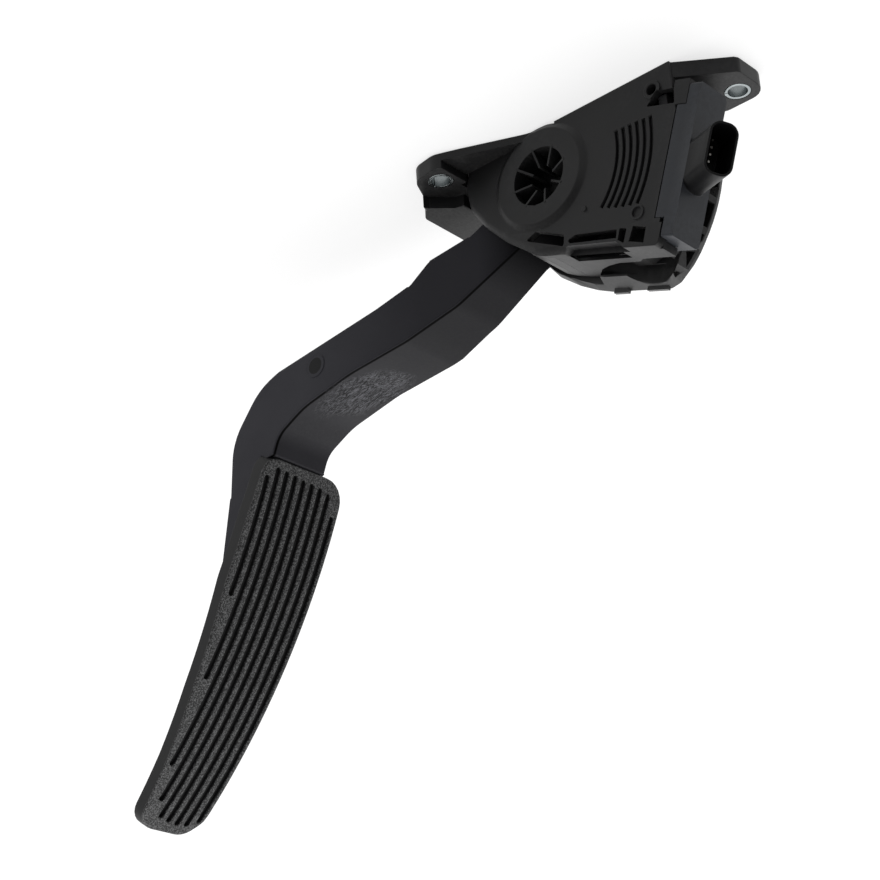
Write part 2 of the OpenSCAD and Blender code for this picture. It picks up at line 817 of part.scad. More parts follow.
module sensor_housing() {
    color([0.25, 0.255, 0.27])
    difference() {
        union() {
            in_face_frame(module_u0) linear_extrude(module_d) polygon(rounded(module_outline));
            intersection() {
                in_connector_frame()
                    translate([0, 0, -root_len - connector_w])
                        linear_extrude(root_len + connector_w + connector_len)
                            rounded_bar(connector_w, connector_h, 4);
                in_sensor_frame()
                    translate([module_x0 + seat, module_u1 - 2, -40]) cube([80, 80, 80]);
            }
        }
        in_connector_frame()
            translate([0, 0, connector_len - shroud_deep])
                linear_extrude(shroud_deep + over)
                    rounded_bar(connector_w - 2 * connector_wall, connector_h - 2 * connector_wall, 3);
        in_sensor_frame()
            translate([room_x0, module_u0 - over, room_v0]) cube([room_w, over + pocket_deep, room_h]);
        in_sensor_frame()
            translate([near_x - tab_deep - seat, module_u0 - over, tab_v - seat])
                cube([tab_deep + seat + over, tab_u - module_u0 + seat + over, tab_len + 2 * seat]);
        in_sensor_frame()
            translate([near_x - 4, module_u0 - over, step_v - seat])
                cube([4 + over, corner_u - module_u0 + 1.5 + over, 40]);
        for (i = [0 : pins - 1]) terminal_shape(i, 0.04);
    }
}

module in_room(u, t) {
    in_sensor_frame()
        translate([room_x0 + seat, u, room_v0 + seat]) cube([room_w - 2 * seat, t, room_h - 2 * seat]);
}
module sensor_lid() {
    color([0.2, 0.2, 0.21]) in_room(module_u0, lid_t);
}
module circuit_board() {
    color([0.1, 0.35, 0.2]) in_room(board_u, board_t);
}

chip_w = 5;
chip_t = 1.2;
module sensor_chip(v) {
    color([0.08, 0.08, 0.08])
    in_sensor_frame()
        translate([room_x0 + room_w / 2 - chip_w / 2, board_u + board_t, v]) cube([chip_w, chip_t, chip_w]);
}
module sensor_chip_a() { sensor_chip(-22); }
module sensor_chip_b() { sensor_chip(8); }

module terminal(i) {
    color([0.8, 0.7, 0.4]) terminal_shape(i, 0);
}

housing();
far_cover();
sleeve_left();
sleeve_right();
pedal_arm();
pedal_pad();
spring_seat();
return_spring_outer();
return_spring_inner();
friction_shoe();
idle_bumper();
sensor_magnet();
sensor_housing();
sensor_lid();
circuit_board();
sensor_chip_a();
sensor_chip_b();
terminal(0);  // terminal_1
terminal(1);  // terminal_2
terminal(2);  // terminal_3
terminal(3);  // terminal_4
terminal(4);  // terminal_5
terminal(5);  // terminal_6
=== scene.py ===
import math

import bmesh
import bpy
from mathutils import Matrix, Vector
from mathutils.bvhtree import BVHTree


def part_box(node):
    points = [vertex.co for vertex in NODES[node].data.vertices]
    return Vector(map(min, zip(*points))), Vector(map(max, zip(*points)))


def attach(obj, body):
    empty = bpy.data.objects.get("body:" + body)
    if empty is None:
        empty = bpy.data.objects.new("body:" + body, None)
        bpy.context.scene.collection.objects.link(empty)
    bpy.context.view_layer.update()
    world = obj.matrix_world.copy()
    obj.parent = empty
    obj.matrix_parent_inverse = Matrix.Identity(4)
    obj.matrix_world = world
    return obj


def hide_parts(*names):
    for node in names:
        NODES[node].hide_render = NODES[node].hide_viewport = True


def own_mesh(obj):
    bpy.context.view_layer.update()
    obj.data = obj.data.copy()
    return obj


bl_info = {
    "name": "Accelerator pedal finish",
    "version": (1, 0, 0),
    "blender": (4, 5, 0),
    "location": "View3D > Sidebar > Pedal",
    "description": "Fine forms, finishes and stage of a hanging accelerator pedal",
    "category": "Object",
}

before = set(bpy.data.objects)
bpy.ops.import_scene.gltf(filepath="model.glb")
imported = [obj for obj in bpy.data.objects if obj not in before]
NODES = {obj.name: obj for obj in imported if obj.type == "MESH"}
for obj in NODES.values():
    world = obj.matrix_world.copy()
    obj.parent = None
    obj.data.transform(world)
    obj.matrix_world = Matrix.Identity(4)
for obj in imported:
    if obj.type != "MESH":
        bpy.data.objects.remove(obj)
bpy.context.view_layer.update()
MM = 0.001


def colour(name, description, value):
    """A colour that the user can change."""
    return bpy.props.FloatVectorProperty(
        name=name, description=description, subtype="COLOR", size=3,
        min=0.0, max=1.0, default=value)


def length(name, description, value, largest):
    """A length that the user can change, given in millimetres."""
    return bpy.props.FloatProperty(
        name=name, description=description, unit="LENGTH", precision=5,
        min=0.0, max=largest * MM, default=value * MM)


def amount(name, description, value, **settings):
    """A plain number that the user can change."""
    return bpy.props.FloatProperty(
        name=name, description=description, min=0.0, default=value, **settings)


def metres(*values):
    """Millimetres in metres."""
    return [value * MM for value in values]


class PedalColours(bpy.types.PropertyGroup):
    housing: colour(
        "Housing", "Black glass-filled plastic of the housing and its cover",
        (0.013, 0.013, 0.0135))
    arm: colour("Arm", "Black plastic of the arm, slightly blue", (0.0215, 0.021, 0.025))
    pad: colour("Pad", "Rubber of the tread", (0.011, 0.011, 0.0115))
    # Pad grain is the colour of the glints painted on the pebbles' tops.
    grain: colour("Pad grain", "Light flecks of the grained lands", (0.15, 0.151, 0.153))
    sensor: colour(
        "Sensor module", "Charcoal plastic of the sensor module", (0.0265, 0.029, 0.0345))
    shoe: colour("Friction shoe", "Dark plastic of the friction shoe", (0.012, 0.012, 0.012))
    seat: colour("Spring seat", "Natural plastic of the spring seat", (0.62, 0.6, 0.52))
    zinc: colour("Sleeves", "Bright zinc plate of the sleeves", (0.29, 0.315, 0.32))
    spring: colour("Springs", "Oil-hardened spring wire", (0.22, 0.22, 0.23))
    # The tin is darker than bare tin: painted shade on the terminals inside the connector's mouth.
    tin: colour("Terminals", "Tin plate of the terminals", (0.3, 0.29, 0.27))
    magnet: colour("Magnet", "Sintered magnet", (0.1, 0.1, 0.105))
    board: colour("Circuit board", "Green solder mask", (0.012, 0.09, 0.035))


class PedalSizes(bpy.types.PropertyGroup):
    moulded_edge: length("Moulded edge", "Round on the edges of the housing", 0.35, 2)
    arm_edge: length("Arm edge", "Round on the edges of the arm", 0.7, 2)
    pad_edge: length("Pad edge", "Round on the edges of the rubber", 0.5, 2)
    sensor_edge: length("Sensor edge", "Round on the edges of the sensor module", 0.3, 2)
    sleeve_edge: length("Sleeve edge", "Round on the ends of the sleeves", 0.25, 1)
    outer_wire: length("Outer wire", "Wire of the outer spring", 1.8, 3)
    inner_wire: length("Inner wire", "Wire of the inner spring", 1.2, 3)
    mark_radius: length("Mark radius", "Outer radius of the plain ring on the arm", 4.6, 8)
    mark_height: length("Mark height", "Height of the plain ring on the arm", 0.25, 1)


class PedalStage(bpy.types.PropertyGroup):
    sky_front: amount("Sky in front", "Strength of the sky behind the camera", 0.25)
    sky_back: amount("Sky at the back", "Strength of the sky above and beyond the pedal", 1.5)
    lamp: amount("Lamp", "Power of the large soft lamp above", 2.0, unit="POWER")
    floor_tone: amount("Floor tone", "Colour of the floor, from black to white", 0.38, max=1.0)
    floor_lift: amount(
        "Floor lift", "How far the floor is lifted to white for the camera", 0.7)


def colours():
    return bpy.context.scene.pedal_colours


def sizes():
    return bpy.context.scene.pedal_sizes


def stage_values():
    return bpy.context.scene.pedal_stage


def pick(obj):
    """Leaves one object selected and active."""
    bpy.ops.object.select_all(action="DESELECT")
    obj.select_set(True)
    bpy.context.view_layer.objects.active = obj


def edit(obj, chosen="SELECT"):
    """Opens an object's mesh with all of its corners chosen, or with none."""
    pick(obj)
    bpy.ops.object.mode_set(mode="EDIT")
    bpy.ops.mesh.select_mode(type="VERT")
    bpy.ops.mesh.select_all(action=chosen)


def leave_edit():
    bpy.ops.object.mode_set(mode="OBJECT")


def settle(obj):
    """Puts the place, turn and size of an object into its mesh."""
    pick(obj)
    bpy.ops.object.transform_apply(location=True, rotation=True, scale=True)


def placed(name, data):
    """An object of the scene that shows the data."""
    made = bpy.data.objects.new(name, data)
    bpy.context.scene.collection.objects.link(made)
    return made


def basic(kind, name, **values):
    """One of Blender's basic meshes, with its place and turn put into it."""
    bpy.ops.object.select_all(action="DESELECT")
    getattr(bpy.ops.mesh, "primitive_%s_add" % kind)(**values)
    made = bpy.context.object
    made.name = name
    settle(made)
    return made


def merged_copy(node, name):
    """A merged copy of a CAD node's mesh."""
    piece = placed(name, NODES[node].data.copy())
    piece.data.materials.clear()
    pick(piece)
    if piece.data.has_custom_normals:
        bpy.ops.mesh.customdata_custom_splitnormals_clear()
    edit(piece)
    bpy.ops.mesh.remove_doubles(threshold=0.002 * MM)
    leave_edit()
    return piece


def copy_of(node, name):
    """A merged copy of a CAD node's mesh, with the triangles of each flat face joined."""
    piece = merged_copy(node, name)
    edit(piece)
    bpy.ops.mesh.dissolve_limited(angle_limit=math.radians(0.6))
    leave_edit()
    return piece


# Planes and heights in millimetres: x across the pedal, u along the sensor end, v up from it.
TILT = math.radians(20)
PIVOT_Z = 19.5
NEAR_X = 14.0
INNER_X = 11.5
RAIL_X = 9.8
SLOT_X = 4.7
COVER_X = -11.5
FAR_X = -14.0
RIM_X = -8.4
WALL = 2.5
END_R = 58.0
BELLY_V = 28.3
LOWER_V = 28.5
RAIL_V = 26.3
COVER_V = 32.7
CUT_V = 20.4
MODULE_END = 62.8
CUT_Y = 20.6


def uv(u, v, radius=0.0):
    """A corner of an outline in y and z, from its place in the sensor end's frame."""
    return (-u * math.cos(TILT) + v * math.sin(TILT),
            PIVOT_Z + u * math.sin(TILT) + v * math.cos(TILT), radius)


def rounded(corners, steps=6):
    """Turns an outline's corners, each with a radius, into points along its arcs."""
    points = []
    for i, corner in enumerate(corners):
        at = Vector(corner[:2])
        radius = corner[2] if len(corner) > 2 else 0.0
        if radius <= 0:
            points.append(at)
            continue
        before = Vector(corners[i - 1][:2]) - at
        after = Vector(corners[(i + 1) % len(corners)][:2]) - at
        a, b = before.normalized(), after.normalized()
        half = math.acos(max(-1.0, min(1.0, a.dot(b)))) / 2
        reach = min(radius / math.tan(half), 0.48 * before.length, 0.48 * after.length)
        middle = at + (a + b).normalized() * reach / math.cos(half)
        start = at + a * reach - middle
        end = at + b * reach - middle
        turn = math.atan2(start.x * end.y - start.y * end.x, start.dot(end))
        first = math.atan2(start.y, start.x)
        for k in range(steps + 1):
            angle = first + turn * k / steps
            point = Vector((math.cos(angle), math.sin(angle)))
            points.append(middle + start.length * point)
    return points


def inset(corners, wall):
    """Moves an outline's corners inwards by a wall."""
    moved = []
    for i, corner in enumerate(corners):
        at = Vector(corner[:2])
        d1 = (at - Vector(corners[i - 1][:2])).normalized()
        d2 = (Vector(corners[(i + 1) % len(corners)][:2]) - at).normalized()
        n1, n2 = Vector((-d1.y, d1.x)), Vector((-d2.y, d2.x))
        spot = at + wall * (n1 + n2) / (1 + n1.dot(n2))
        moved.append((spot.x, spot.y, max(corner[2] - wall, 0.0)))
    return moved


def across(a, b, h):
    """Outline in y and z, drawn out along x."""
    return Vector((h, a, b)) * MM


def upward(a, b, h):
    """Outline in x and y, drawn out along z."""
    return Vector((a, b, h)) * MM


def outward(a, b, h):
    """Outline in x and u, drawn out along v."""
    y, z, none = uv(b, h)
    return Vector((a, y, z)) * MM


def endward(a, b, h):
    """Outline in x and v, drawn out along u."""
    y, z, none = uv(h, b)
    return Vector((a, y, z)) * MM


def new_tool(shape):
    """An object made of a shape, which is used up."""
    mesh = bpy.data.meshes.new("tool")
    bmesh.ops.recalc_face_normals(shape, faces=shape.faces)
    shape.to_mesh(mesh)
    shape.free()
    return placed("tool", mesh)


def drawn_out(points, low, high, place):
    """A solid from an outline, between two heights."""
    shape = bmesh.new()
    rings = [[shape.verts.new(place(p[0], p[1], h)) for p in points] for h in (low, high)]
    for ring in rings:
        shape.faces.new(ring)
    for i in range(len(points)):
        j = (i + 1) % len(points)
        shape.faces.new((rings[0][i], rings[0][j], rings[1][j], rings[1][i]))
    return new_tool(shape)


def plate(corners, low, high, place=across):
    """A solid from an outline whose corners have radii."""
    return drawn_out(rounded(corners), low, high, place)


def hull_of(slices):
    """The solid that spans outlines in y and z at several places along x."""
    shape = bmesh.new()
    for points, x in slices:
        for p in points:
            shape.verts.new(across(p[0], p[1], x))
    found = bmesh.ops.convex_hull(shape, input=shape.verts)
    left = found["geom_interior"] + found["geom_unused"]
    spare = {part for part in left if isinstance(part, bmesh.types.BMVert)}
    bmesh.ops.delete(shape, geom=list(spare), context="VERTS")
    return new_tool(shape)


def block(x0, x1, a0, a1, h0, h1, place):
    """A box, from its ends across, along the outline and in height."""
    return drawn_out([(x0, a0), (x1, a0), (x1, a1), (x0, a1)], h0, h1, place)


CUT = "DIFFERENCE"
JOIN = "UNION"
KEEP = "INTERSECT"


def carve(piece, tool, way):
    """Cuts a tool from a piece, adds it, or keeps what they share, and drops the tool."""
    pick(piece)
    step = piece.modifiers.new("Carve", "BOOLEAN")
    step.object = tool
    step.operation = way
    step.solver = "MANIFOLD"
    bpy.ops.object.modifier_apply(modifier=step.name)
    if not piece.data.polygons:
        raise RuntimeError("nothing left of %s after a %s" % (piece.name, way))
    bpy.data.objects.remove(tool)
    return piece


def arc(radius, high, low=-15.0, steps=18):
    """Points of the curved end wall, from a high angle down to a low one, in degrees."""
    points = []
    for k in range(steps + 1):
        angle = math.radians(high + (low - high) * k / steps)
        points.append((-radius * math.cos(angle), PIVOT_Z + radius * math.sin(angle), 0.0))
    return points


ARM_SIDE = [(26.2, 26.2, 16), (32.6, 17, 12), (34.8, 8, 6)]
NEAR_ARM_SIDE = [(35.2, 8, 6), (33.6, 17.4, 12), (27.3, 26.9, 16), (18.7, 36.5, 24),
                 uv(4.8, LOWER_V, 14)]
FEET = [(-57, 0, 0), (34, 0, 0)]
NEAR_OUTLINE = FEET + NEAR_ARM_SIDE + [
    uv(16.2, LOWER_V - 0.1, 1), uv(18.4, RAIL_V, 0.5), uv(39.4, RAIL_V - 0.3, 0.5),
    uv(43.4, LOWER_V, 1), uv(57.5, LOWER_V, 1.5), uv(57.5, 18.8), uv(52.8, 18.8),
    uv(52.8, -20, 2)]
RIM_OUTLINE = [(-12.9, 0, 0), (34, 0, 0)] + NEAR_ARM_SIDE + [uv(24, LOWER_V - 0.2)]
END_HIGH = 20 + math.degrees(math.asin(BELLY_V / END_R)) - 1
BELLY = [uv(math.sqrt(END_R ** 2 - BELLY_V ** 2) - 2.5, BELLY_V, 1), uv(16, BELLY_V, 10),
         uv(9, BELLY_V - 0.3, 8), uv(2.9, 27.3, 10), uv(-3.2, 26, 10), uv(-8, 24, 12)] + ARM_SIDE
FAR_OUTLINE = FEET + BELLY[::-1] + arc(END_R, END_HIGH)
BELLY_OPENING = [
    (COVER_X - 1, 13.8, 0), (COVER_X + 2.8, 15.5, 1.5), (-4.1, 19.9, 4), (-1.3, 25.1, 5),
    (0.5, 31, 4), (0.5, 40, 2), (3.5, 43.6, 0.5), (3.5, END_R + 2, 0), (-2.5, END_R + 2, 0),
    (-4.5, END_R - 6, 3), (COVER_X + 1.5, END_R - 11.5, 2), (COVER_X - 1, END_R - 12, 0)]
BITE_X, BITE_U, BITE_R = 5.5, 38, 17.5
WINDOW_DEPTHS = (10.5, 3.5, 3.5, 3.5)
WINDOWS = [
    [(9.2, 41, 0.6), (-6.8, 50, 0.8), (-7.4, 45.7, 0.6), (4.2, 39.2, 0.8)],
    [(-12.3, 47.8, 1.2), (-8.6, 48.4, 1), (-9.4, 50, 0.6), (-28.2, 56.2, 0.3), (-29.1, 53.2, 0.3)],
    [(-29, 57.2, 0.3), (-31.2, 59.4, 0.3), (-33.1, 54.6, 0.3), (-30.3, 53.2, 0.3)],
    [(-33.3, 59.7, 0.3), (-39, 62.6, 0.3), (-40.7, 57.5, 0.4), (-35.7, 54.7, 0.4)]]


def cover_line(t):
    """Outline of the far cover's flared rim, t below its edge."""
    upper = [uv(47.2 - t / 2, 30.7 - 0.8 * t, 3), uv(43.6 - t / 4, COVER_V - t, 2),
             uv(18, COVER_V - t, 10), uv(11.2, COVER_V - 0.9 - t, 8), uv(2.7, 29.8 - t, 10),
             uv(-7.8, 26 - 0.6 * t, 12)]
    return FEET + (upper + ARM_SIDE)[::-1] + arc(END_R - 1.2 - t / 3, END_HIGH - 2)


def belly_zone():
    """The room of the belly and the arm side, where the fine forms take over from the solids."""
    zone = drawn_out([(-20, -70), (20, -70), (20, 90), (-20, 90)], CUT_V, 70, outward)
    carve(zone, block(-20, 20, CUT_Y, 60, 11.6, 80, upward), JOIN)
    return carve(zone, block(-20, 20, 17, 60, 30.6, 80, upward), JOIN)


def shared(outline, other, low, high):
    """What two outlines, drawn out between the same planes, have in common."""
    room = plate(outline, low, high)
    return carve(room, plate(other, low - 1, high + 1), KEEP)


def belly_part():
    """The housing's belly: near wall, slot, shelf, opening, corner block and seam."""
    piece = plate(NEAR_OUTLINE, RAIL_X, NEAR_X)
    carve(piece, plate(FAR_OUTLINE, COVER_X, RAIL_X + 0.01), JOIN)
    above = [(-80, 3), (80, 3), (80, 83), (-80, 83)]
    near_room = inset(NEAR_OUTLINE, WALL)
    far_room = inset(FAR_OUTLINE, WALL)
    pane_x = SLOT_X - WALL
    carve(piece, shared(near_room, above, RAIL_X - 1, INNER_X), CUT)
    carve(piece, shared(far_room, above, COVER_X - 1, pane_x), CUT)
    room = plate(near_room, pane_x - 1, RAIL_X)
    for outline in (rounded(far_room), above):
        carve(room, drawn_out(outline, pane_x - 2, RAIL_X + 1, across), KEEP)
    carve(piece, room, CUT)
    way = [(8, 41.2), (12.5, 47), (16, 60), (60, 60), (60, 11.5), (31.5, 11.5), (30, 3), (0, 3)]
    slot = [uv(9.3, 22), uv(9.3, 23.2), uv(18, BELLY_V + 1), uv(40.5, BELLY_V + 1), uv(37, 22)]
    pane = [uv(10, 20), uv(10, 23.8), uv(16.3, BELLY_V - 1.4), uv(40.5, BELLY_V - 1.4),
            uv(38, 20)]
    corner = [(COVER_X + 1.5, 27), (COVER_X + 1.5, 21.6), (COVER_X + 5.7, 22.7)]
    for tool in (
            drawn_out(way, COVER_X - 1, INNER_X, across),
            plate(BELLY_OPENING, BELLY_V - 5, BELLY_V + 5, outward),
            drawn_out(slot, SLOT_X, RAIL_X, across),
            drawn_out(pane, pane_x - 1, SLOT_X + 1, across),
            drawn_out(corner, 44, END_R + 1, endward),
            block(COVER_X - 1, COVER_X + 1.4, -9, 48, BELLY_V - 5, BELLY_V + 5, outward)):
        carve(piece, tool, CUT)
    inner = block(-3.1, RAIL_X + WALL, 51.5, 54, -58, 58, outward)
    carve(inner, block(-3.1, -0.6, 51.5, 109.5, -58, 58, outward), JOIN)
    carve(inner, plate(FAR_OUTLINE, COVER_X, RAIL_X + 1), KEEP)
    carve(piece, inner, JOIN)
    carve(piece, block(3.5, 10.8, 43.4, 57.5, 25.8, LOWER_V, outward), JOIN)
    carve(piece, block(-0.6, 10, 54, 112, -28.9, 25.6, outward), CUT)
    return carve(piece, belly_zone(), KEEP)


def rounded_rim():
    """What is rubbed away where the near wall's outer edge is rounded."""
    depth = 2.6
    slices = ((-0.25, RAIL_X - 1), (-0.25, NEAR_X - depth), (depth * 0.3, NEAR_X - depth / 2),
              (depth, NEAR_X + 0.02))
    keep = hull_of([(rounded(inset(RIM_OUTLINE, inwards)), x) for inwards, x in slices])
    whole = rounded(inset(RIM_OUTLINE, -0.6))
    tool = drawn_out(whole, NEAR_X - depth - 0.4, NEAR_X + 0.01, across)
    carve(tool, keep, CUT)
    return carve(tool, block(-20, 20, -7.5, 60, 0, 80, upward), KEEP)


def end_block():
    """The block that closes the base's left end under the arm."""
    line = [(17.6, 49.7, 2), (12.5, 54.7, 1.5), (-12.3, 55.1, 1.5), (-14, 53.4, 1),
            (-14, 40.4, 0), (8, 40.4, 0)]
    piece = plate(line, 0, 11, upward)
    hollow = plate(inset(line, 2.2), -1, 8.8, upward)
    return carve(piece, hollow, CUT)


def belly_cover():
    """The far cover's flared rim with its bite and clips."""
    edge, foot = rounded(cover_line(0)), rounded(cover_line(3.4))
    piece = hull_of([(edge, FAR_X), (edge, FAR_X + 0.1), (foot, RIM_X - 0.1), (foot, RIM_X)])
    keep = block(FAR_X - 1, COVER_X - 0.1, -100, 100, 0, 120, upward)
    carve(keep, block(FAR_X, RIM_X + 1, 15.4, 46, BELLY_V + 0.05, BELLY_V + 6, outward), JOIN)
    carve(keep, block(FAR_X, COVER_X + 1.2, 15.4, 46, BELLY_V - 2, BELLY_V + 3, outward), JOIN)
    carve(piece, keep, KEEP)
    turns = [math.tau * k / 72 for k in range(72)]
    ring = [(BITE_X + BITE_R * math.cos(t), BITE_U + BITE_R * math.sin(t)) for t in turns]
    carve(piece, drawn_out(ring, BELLY_V - 4, BELLY_V + 8, outward), CUT)
    for first, last, high in ((19.5, 25.8, 33.8), (34, 43, 33.4)):
        clip = block(FAR_X, FAR_X + 1.4, first, last, COVER_V - 3, high, outward)
        carve(piece, clip, JOIN)
    return carve(piece, belly_zone(), KEEP)


SHORTEST_EDGE = 0.01 * MM
SMALLEST_FACE = 0.004 * MM * MM
TINY = 0.03 * MM
ROUNDS_TRIED = 8


def room_at(edge, sharp, width):
    """The round that an edge has room for, so that it stops short of its neighbours."""
    start = edge.verts[0].co
    line = edge.verts[1].co - start
    run = line.length
    line = line / run
    room = width
    for face in edge.link_faces:
        for vert in face.verts:
            if vert in edge.verts:
                continue
            away = vert.co - start
            along = away.dot(line)
            if -0.02 * run <= along <= 1.02 * run:
                room = min(room, 0.45 * (away - along * line).length)
    for vert in edge.verts:
        for other in vert.link_edges:
            if other is edge:
                continue
            way = other.other_vert(vert).co - vert.co
            aside = (way - way.dot(line) * line).length
            if other in sharp and aside < 0.3 * way.length:
                continue
            room = min(room, 0.42 * aside)
    return room


def edge_weights(mesh, width, angle):
    """How much of the round each edge of a mesh takes, from 0 to 1."""
    shape = bmesh.new()
    shape.from_mesh(mesh)
    limit = math.radians(angle)
    sharp = {edge for edge in shape.edges
             if edge.is_manifold and edge.calc_face_angle(0.0) > limit
             and edge.calc_length() > SHORTEST_EDGE}
    room = {edge: room_at(edge, sharp, width) for edge in sharp}
    weights = [0.0] * len(shape.edges)
    for edge in sharp:
        chain = [room[edge]]
        for vert in edge.verts:
            chain.extend(1.5 * room[other] for other in vert.link_edges if other in sharp)
        least = min(chain)
        if least > TINY:
            weights[edge.index] = least / width
    shape.free()
    return weights


def off_segment(spot, start, end):
    """How far a point is from the line between two others."""
    line = end - start
    share = (spot - start).dot(line) / max(line.length_squared, 1e-15)
    return (spot - start - min(1.0, max(0.0, share)) * line).length


def folds(mesh, surface):
    """Corners of the triangles that face against the surface that they lie on."""
    shape = bmesh.new()
    shape.from_mesh(mesh)
    bmesh.ops.triangulate(shape, faces=shape.faces)
    shape.normal_update()
    spots = {}
    for face in shape.faces:
        if face.calc_area() < SMALLEST_FACE:
            continue
        near = surface.find_nearest_range(face.calc_center_median(), 0.3 * MM)
        if near and max(face.normal.dot(hit[1]) for hit in near) < 0.2:
            for vert in face.verts:
                cell = tuple(round(value / (0.2 * MM)) for value in vert.co)
                spots[cell] = vert.co.copy()
    shape.free()
    return list(spots.values())


def soften(piece, width, angle=34, segments=2, smooth=38):
    """Rounds the edges sharper than the angle as far as there is room, and smooths the rest."""
    before = piece.data
    weights = edge_weights(before, width, angle)
    shape = bmesh.new()
    shape.from_mesh(before)
    bmesh.ops.triangulate(shape, faces=shape.faces)
    surface = BVHTree.FromBMesh(shape)
    shape.free()
    ends = [[before.vertices[i].co.copy() for i in edge.vertices] for edge in before.edges]
    for attempt in range(ROUNDS_TRIED):
        piece.data = before.copy()
        layer = piece.data.attributes.new("bevel_weight_edge", "FLOAT", "EDGE")
        layer.data.foreach_set("value", weights)
        pick(piece)
        bevel = piece.modifiers.new("Edges", "BEVEL")
        bevel.width = width
        bevel.segments = segments
        bevel.limit_method = "WEIGHT"
        bevel.use_clamp_overlap = False
        bpy.ops.object.modifier_apply(modifier=bevel.name)
        strays = []
        for vertex in piece.data.vertices:
            spot, normal, index, away = surface.find_nearest(vertex.co)
            if away > 0.45 * width + TINY:
                strays.append((spot, (1.5 * away + 0.8 * MM) * (1 + 0.6 * attempt)))
        strays.extend((spot, (0.3 + 0.2 * attempt) * MM) for spot in folds(piece.data, surface))
        if not strays:
            break
        for index, (start, end) in enumerate(ends):
            if weights[index] and any(
                    off_segment(spot, start, end) < reach for spot, reach in strays):
                weights[index] = 0.0
    bpy.ops.object.shade_smooth_by_angle(angle=math.radians(smooth))
    weigh = piece.modifiers.new("Weighted", "WEIGHTED_NORMAL")
    weigh.keep_sharp = True
    weigh.weight = 70
    bpy.ops.object.modifier_apply(modifier=weigh.name)


def finish_piece(piece, body, slot, material, *nodes):
    """Gives a piece its material and its body, and hides the nodes that it stands for."""
    piece.data.materials.clear()
    piece.data.materials.append(material_of(material))
    if nodes:
        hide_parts(*nodes)
    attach(piece, body)


def finish_nodes(material, *nodes):
    """Gives CAD nodes that keep their own mesh a better material."""
    for node in nodes:
        for holder in NODES[node].material_slots:
            holder.material = material_of(material)


def feed(tree, socket, value):
    """Links a socket to another one, or gives it a plain value."""
    if isinstance(value, bpy.types.NodeSocket):
        tree.links.new(value, socket)
    else:
        socket.default_value = value


def add(tree, kind, x, y, **values):
    """A node at a place in the graph, with its settings and what goes into its sockets."""
    made = tree.nodes.new(kind)
    made.location = (x, y)
    for key, value in values.items():
        if key in made.inputs:
            feed(tree, made.inputs[key], value)
        else:
            setattr(made, key, value)
    return made


def fill(tree, node, **values):
    """Fills sockets whose names are written with underscores."""
    for key, value in values.items():
        feed(tree, node.inputs[key.replace("_", " ")], value)


def maths(tree, way, x, y, *values, kind="ShaderNodeMath"):
    """A sum whose terms are linked or plain; gives back its result."""
    made = add(tree, kind, x, y, operation=way)
    for socket, value in zip(made.inputs, values):
        feed(tree, socket, value)
    return made.outputs["Value"]


def vector_maths(tree, way, x, y, *values):
    return maths(tree, way, x, y, *values, kind="ShaderNodeVectorMath")


def spread(tree, x, y, value, low=0.0, high=1.0, to_low=0.0, to_high=1.0):
    """A value mapped from one range to another and held at its ends."""
    made = add(tree, "ShaderNodeMapRange", x, y)
    fill(tree, made, Value=value, From_Min=low, From_Max=high, To_Min=to_low, To_Max=to_high)
    return made.outputs["Result"]


def noise(tree, x, y, vector, scale, detail, roughness, distortion=0.0):
    made = add(tree, "ShaderNodeTexNoise", x, y, Vector=vector, Scale=scale, Detail=detail,
               Roughness=roughness, Distortion=distortion)
    return made.outputs["Fac"]


def mapped(tree, x, y, vector, **values):
    made = add(tree, "ShaderNodeMapping", x, y, Vector=vector, **values)
    return made.outputs["Vector"]


def bump(tree, x, y, height, strength, distance, **others):
    """Relief from a height; gives back its normal."""
    made = add(tree, "ShaderNodeBump", x, y, Height=height, Strength=strength,
               Distance=distance, **others)
    return made.outputs["Normal"]


def mix_colours(tree, x, y, share, first, second):
    """A mix by a share of two colours, each linked or plain; gives back its colour."""
    mix = add(tree, "ShaderNodeMix", x, y, data_type="RGBA")
    tree.links.new(share, mix.inputs[0])
    for socket, value in ((mix.inputs[6], first), (mix.inputs[7], second)):
        linked = isinstance(value, bpy.types.NodeSocket)
        feed(tree, socket, value if linked else (*value, 1.0))
    return mix.outputs[2]


def times(base, factor):
    """A colour made lighter or darker, held below white."""
    return [min(1.0, c * factor) for c in base]


def new_group(name, numbers, masks):
    """A node group with a vector and numbers as inputs; gives back its inputs and its end."""
    group = bpy.data.node_groups.new(name, "ShaderNodeTree")
    group.interface.new_socket(name="Vector", in_out="INPUT", socket_type="NodeSocketVector")
    for title, value in numbers.items():
        socket = group.interface.new_socket(
            name=title, in_out="INPUT", socket_type="NodeSocketFloat")
        socket.default_value = value
    for title in masks:
        group.interface.new_socket(name=title, in_out="OUTPUT", socket_type="NodeSocketFloat")
    start = add(group, "NodeGroupInput", -900, 0)
    end = add(group, "NodeGroupOutput", 700, 0)
    return group, start.outputs, end


def moulded_grain_group():
    """Fine spark-eroded grain and the slow clouding of a moulded skin."""
    found = bpy.data.node_groups.get("Moulded grain")
    if found:
        return found
    group, given, end = new_group(
        "Moulded grain", {"Grain size": 2600.0, "Cloud size": 60.0}, ("Height", "Cloud"))
    fine = noise(group, -600, 200, given["Vector"], given["Grain size"], 2.0, 0.6)
    cells = add(group, "ShaderNodeTexVoronoi", -600, -60, feature="SMOOTH_F1",
                Vector=given["Vector"], Scale=given["Grain size"])
    height = maths(group, "ADD", -300, 120, fine, cells.outputs["Distance"])
    cloud = noise(group, -600, -320, given["Vector"], given["Cloud size"], 3.0, 0.55)
    fill(group, end, Height=height, Cloud=spread(group, -300, -320, cloud, 0.3, 0.7))
    return group


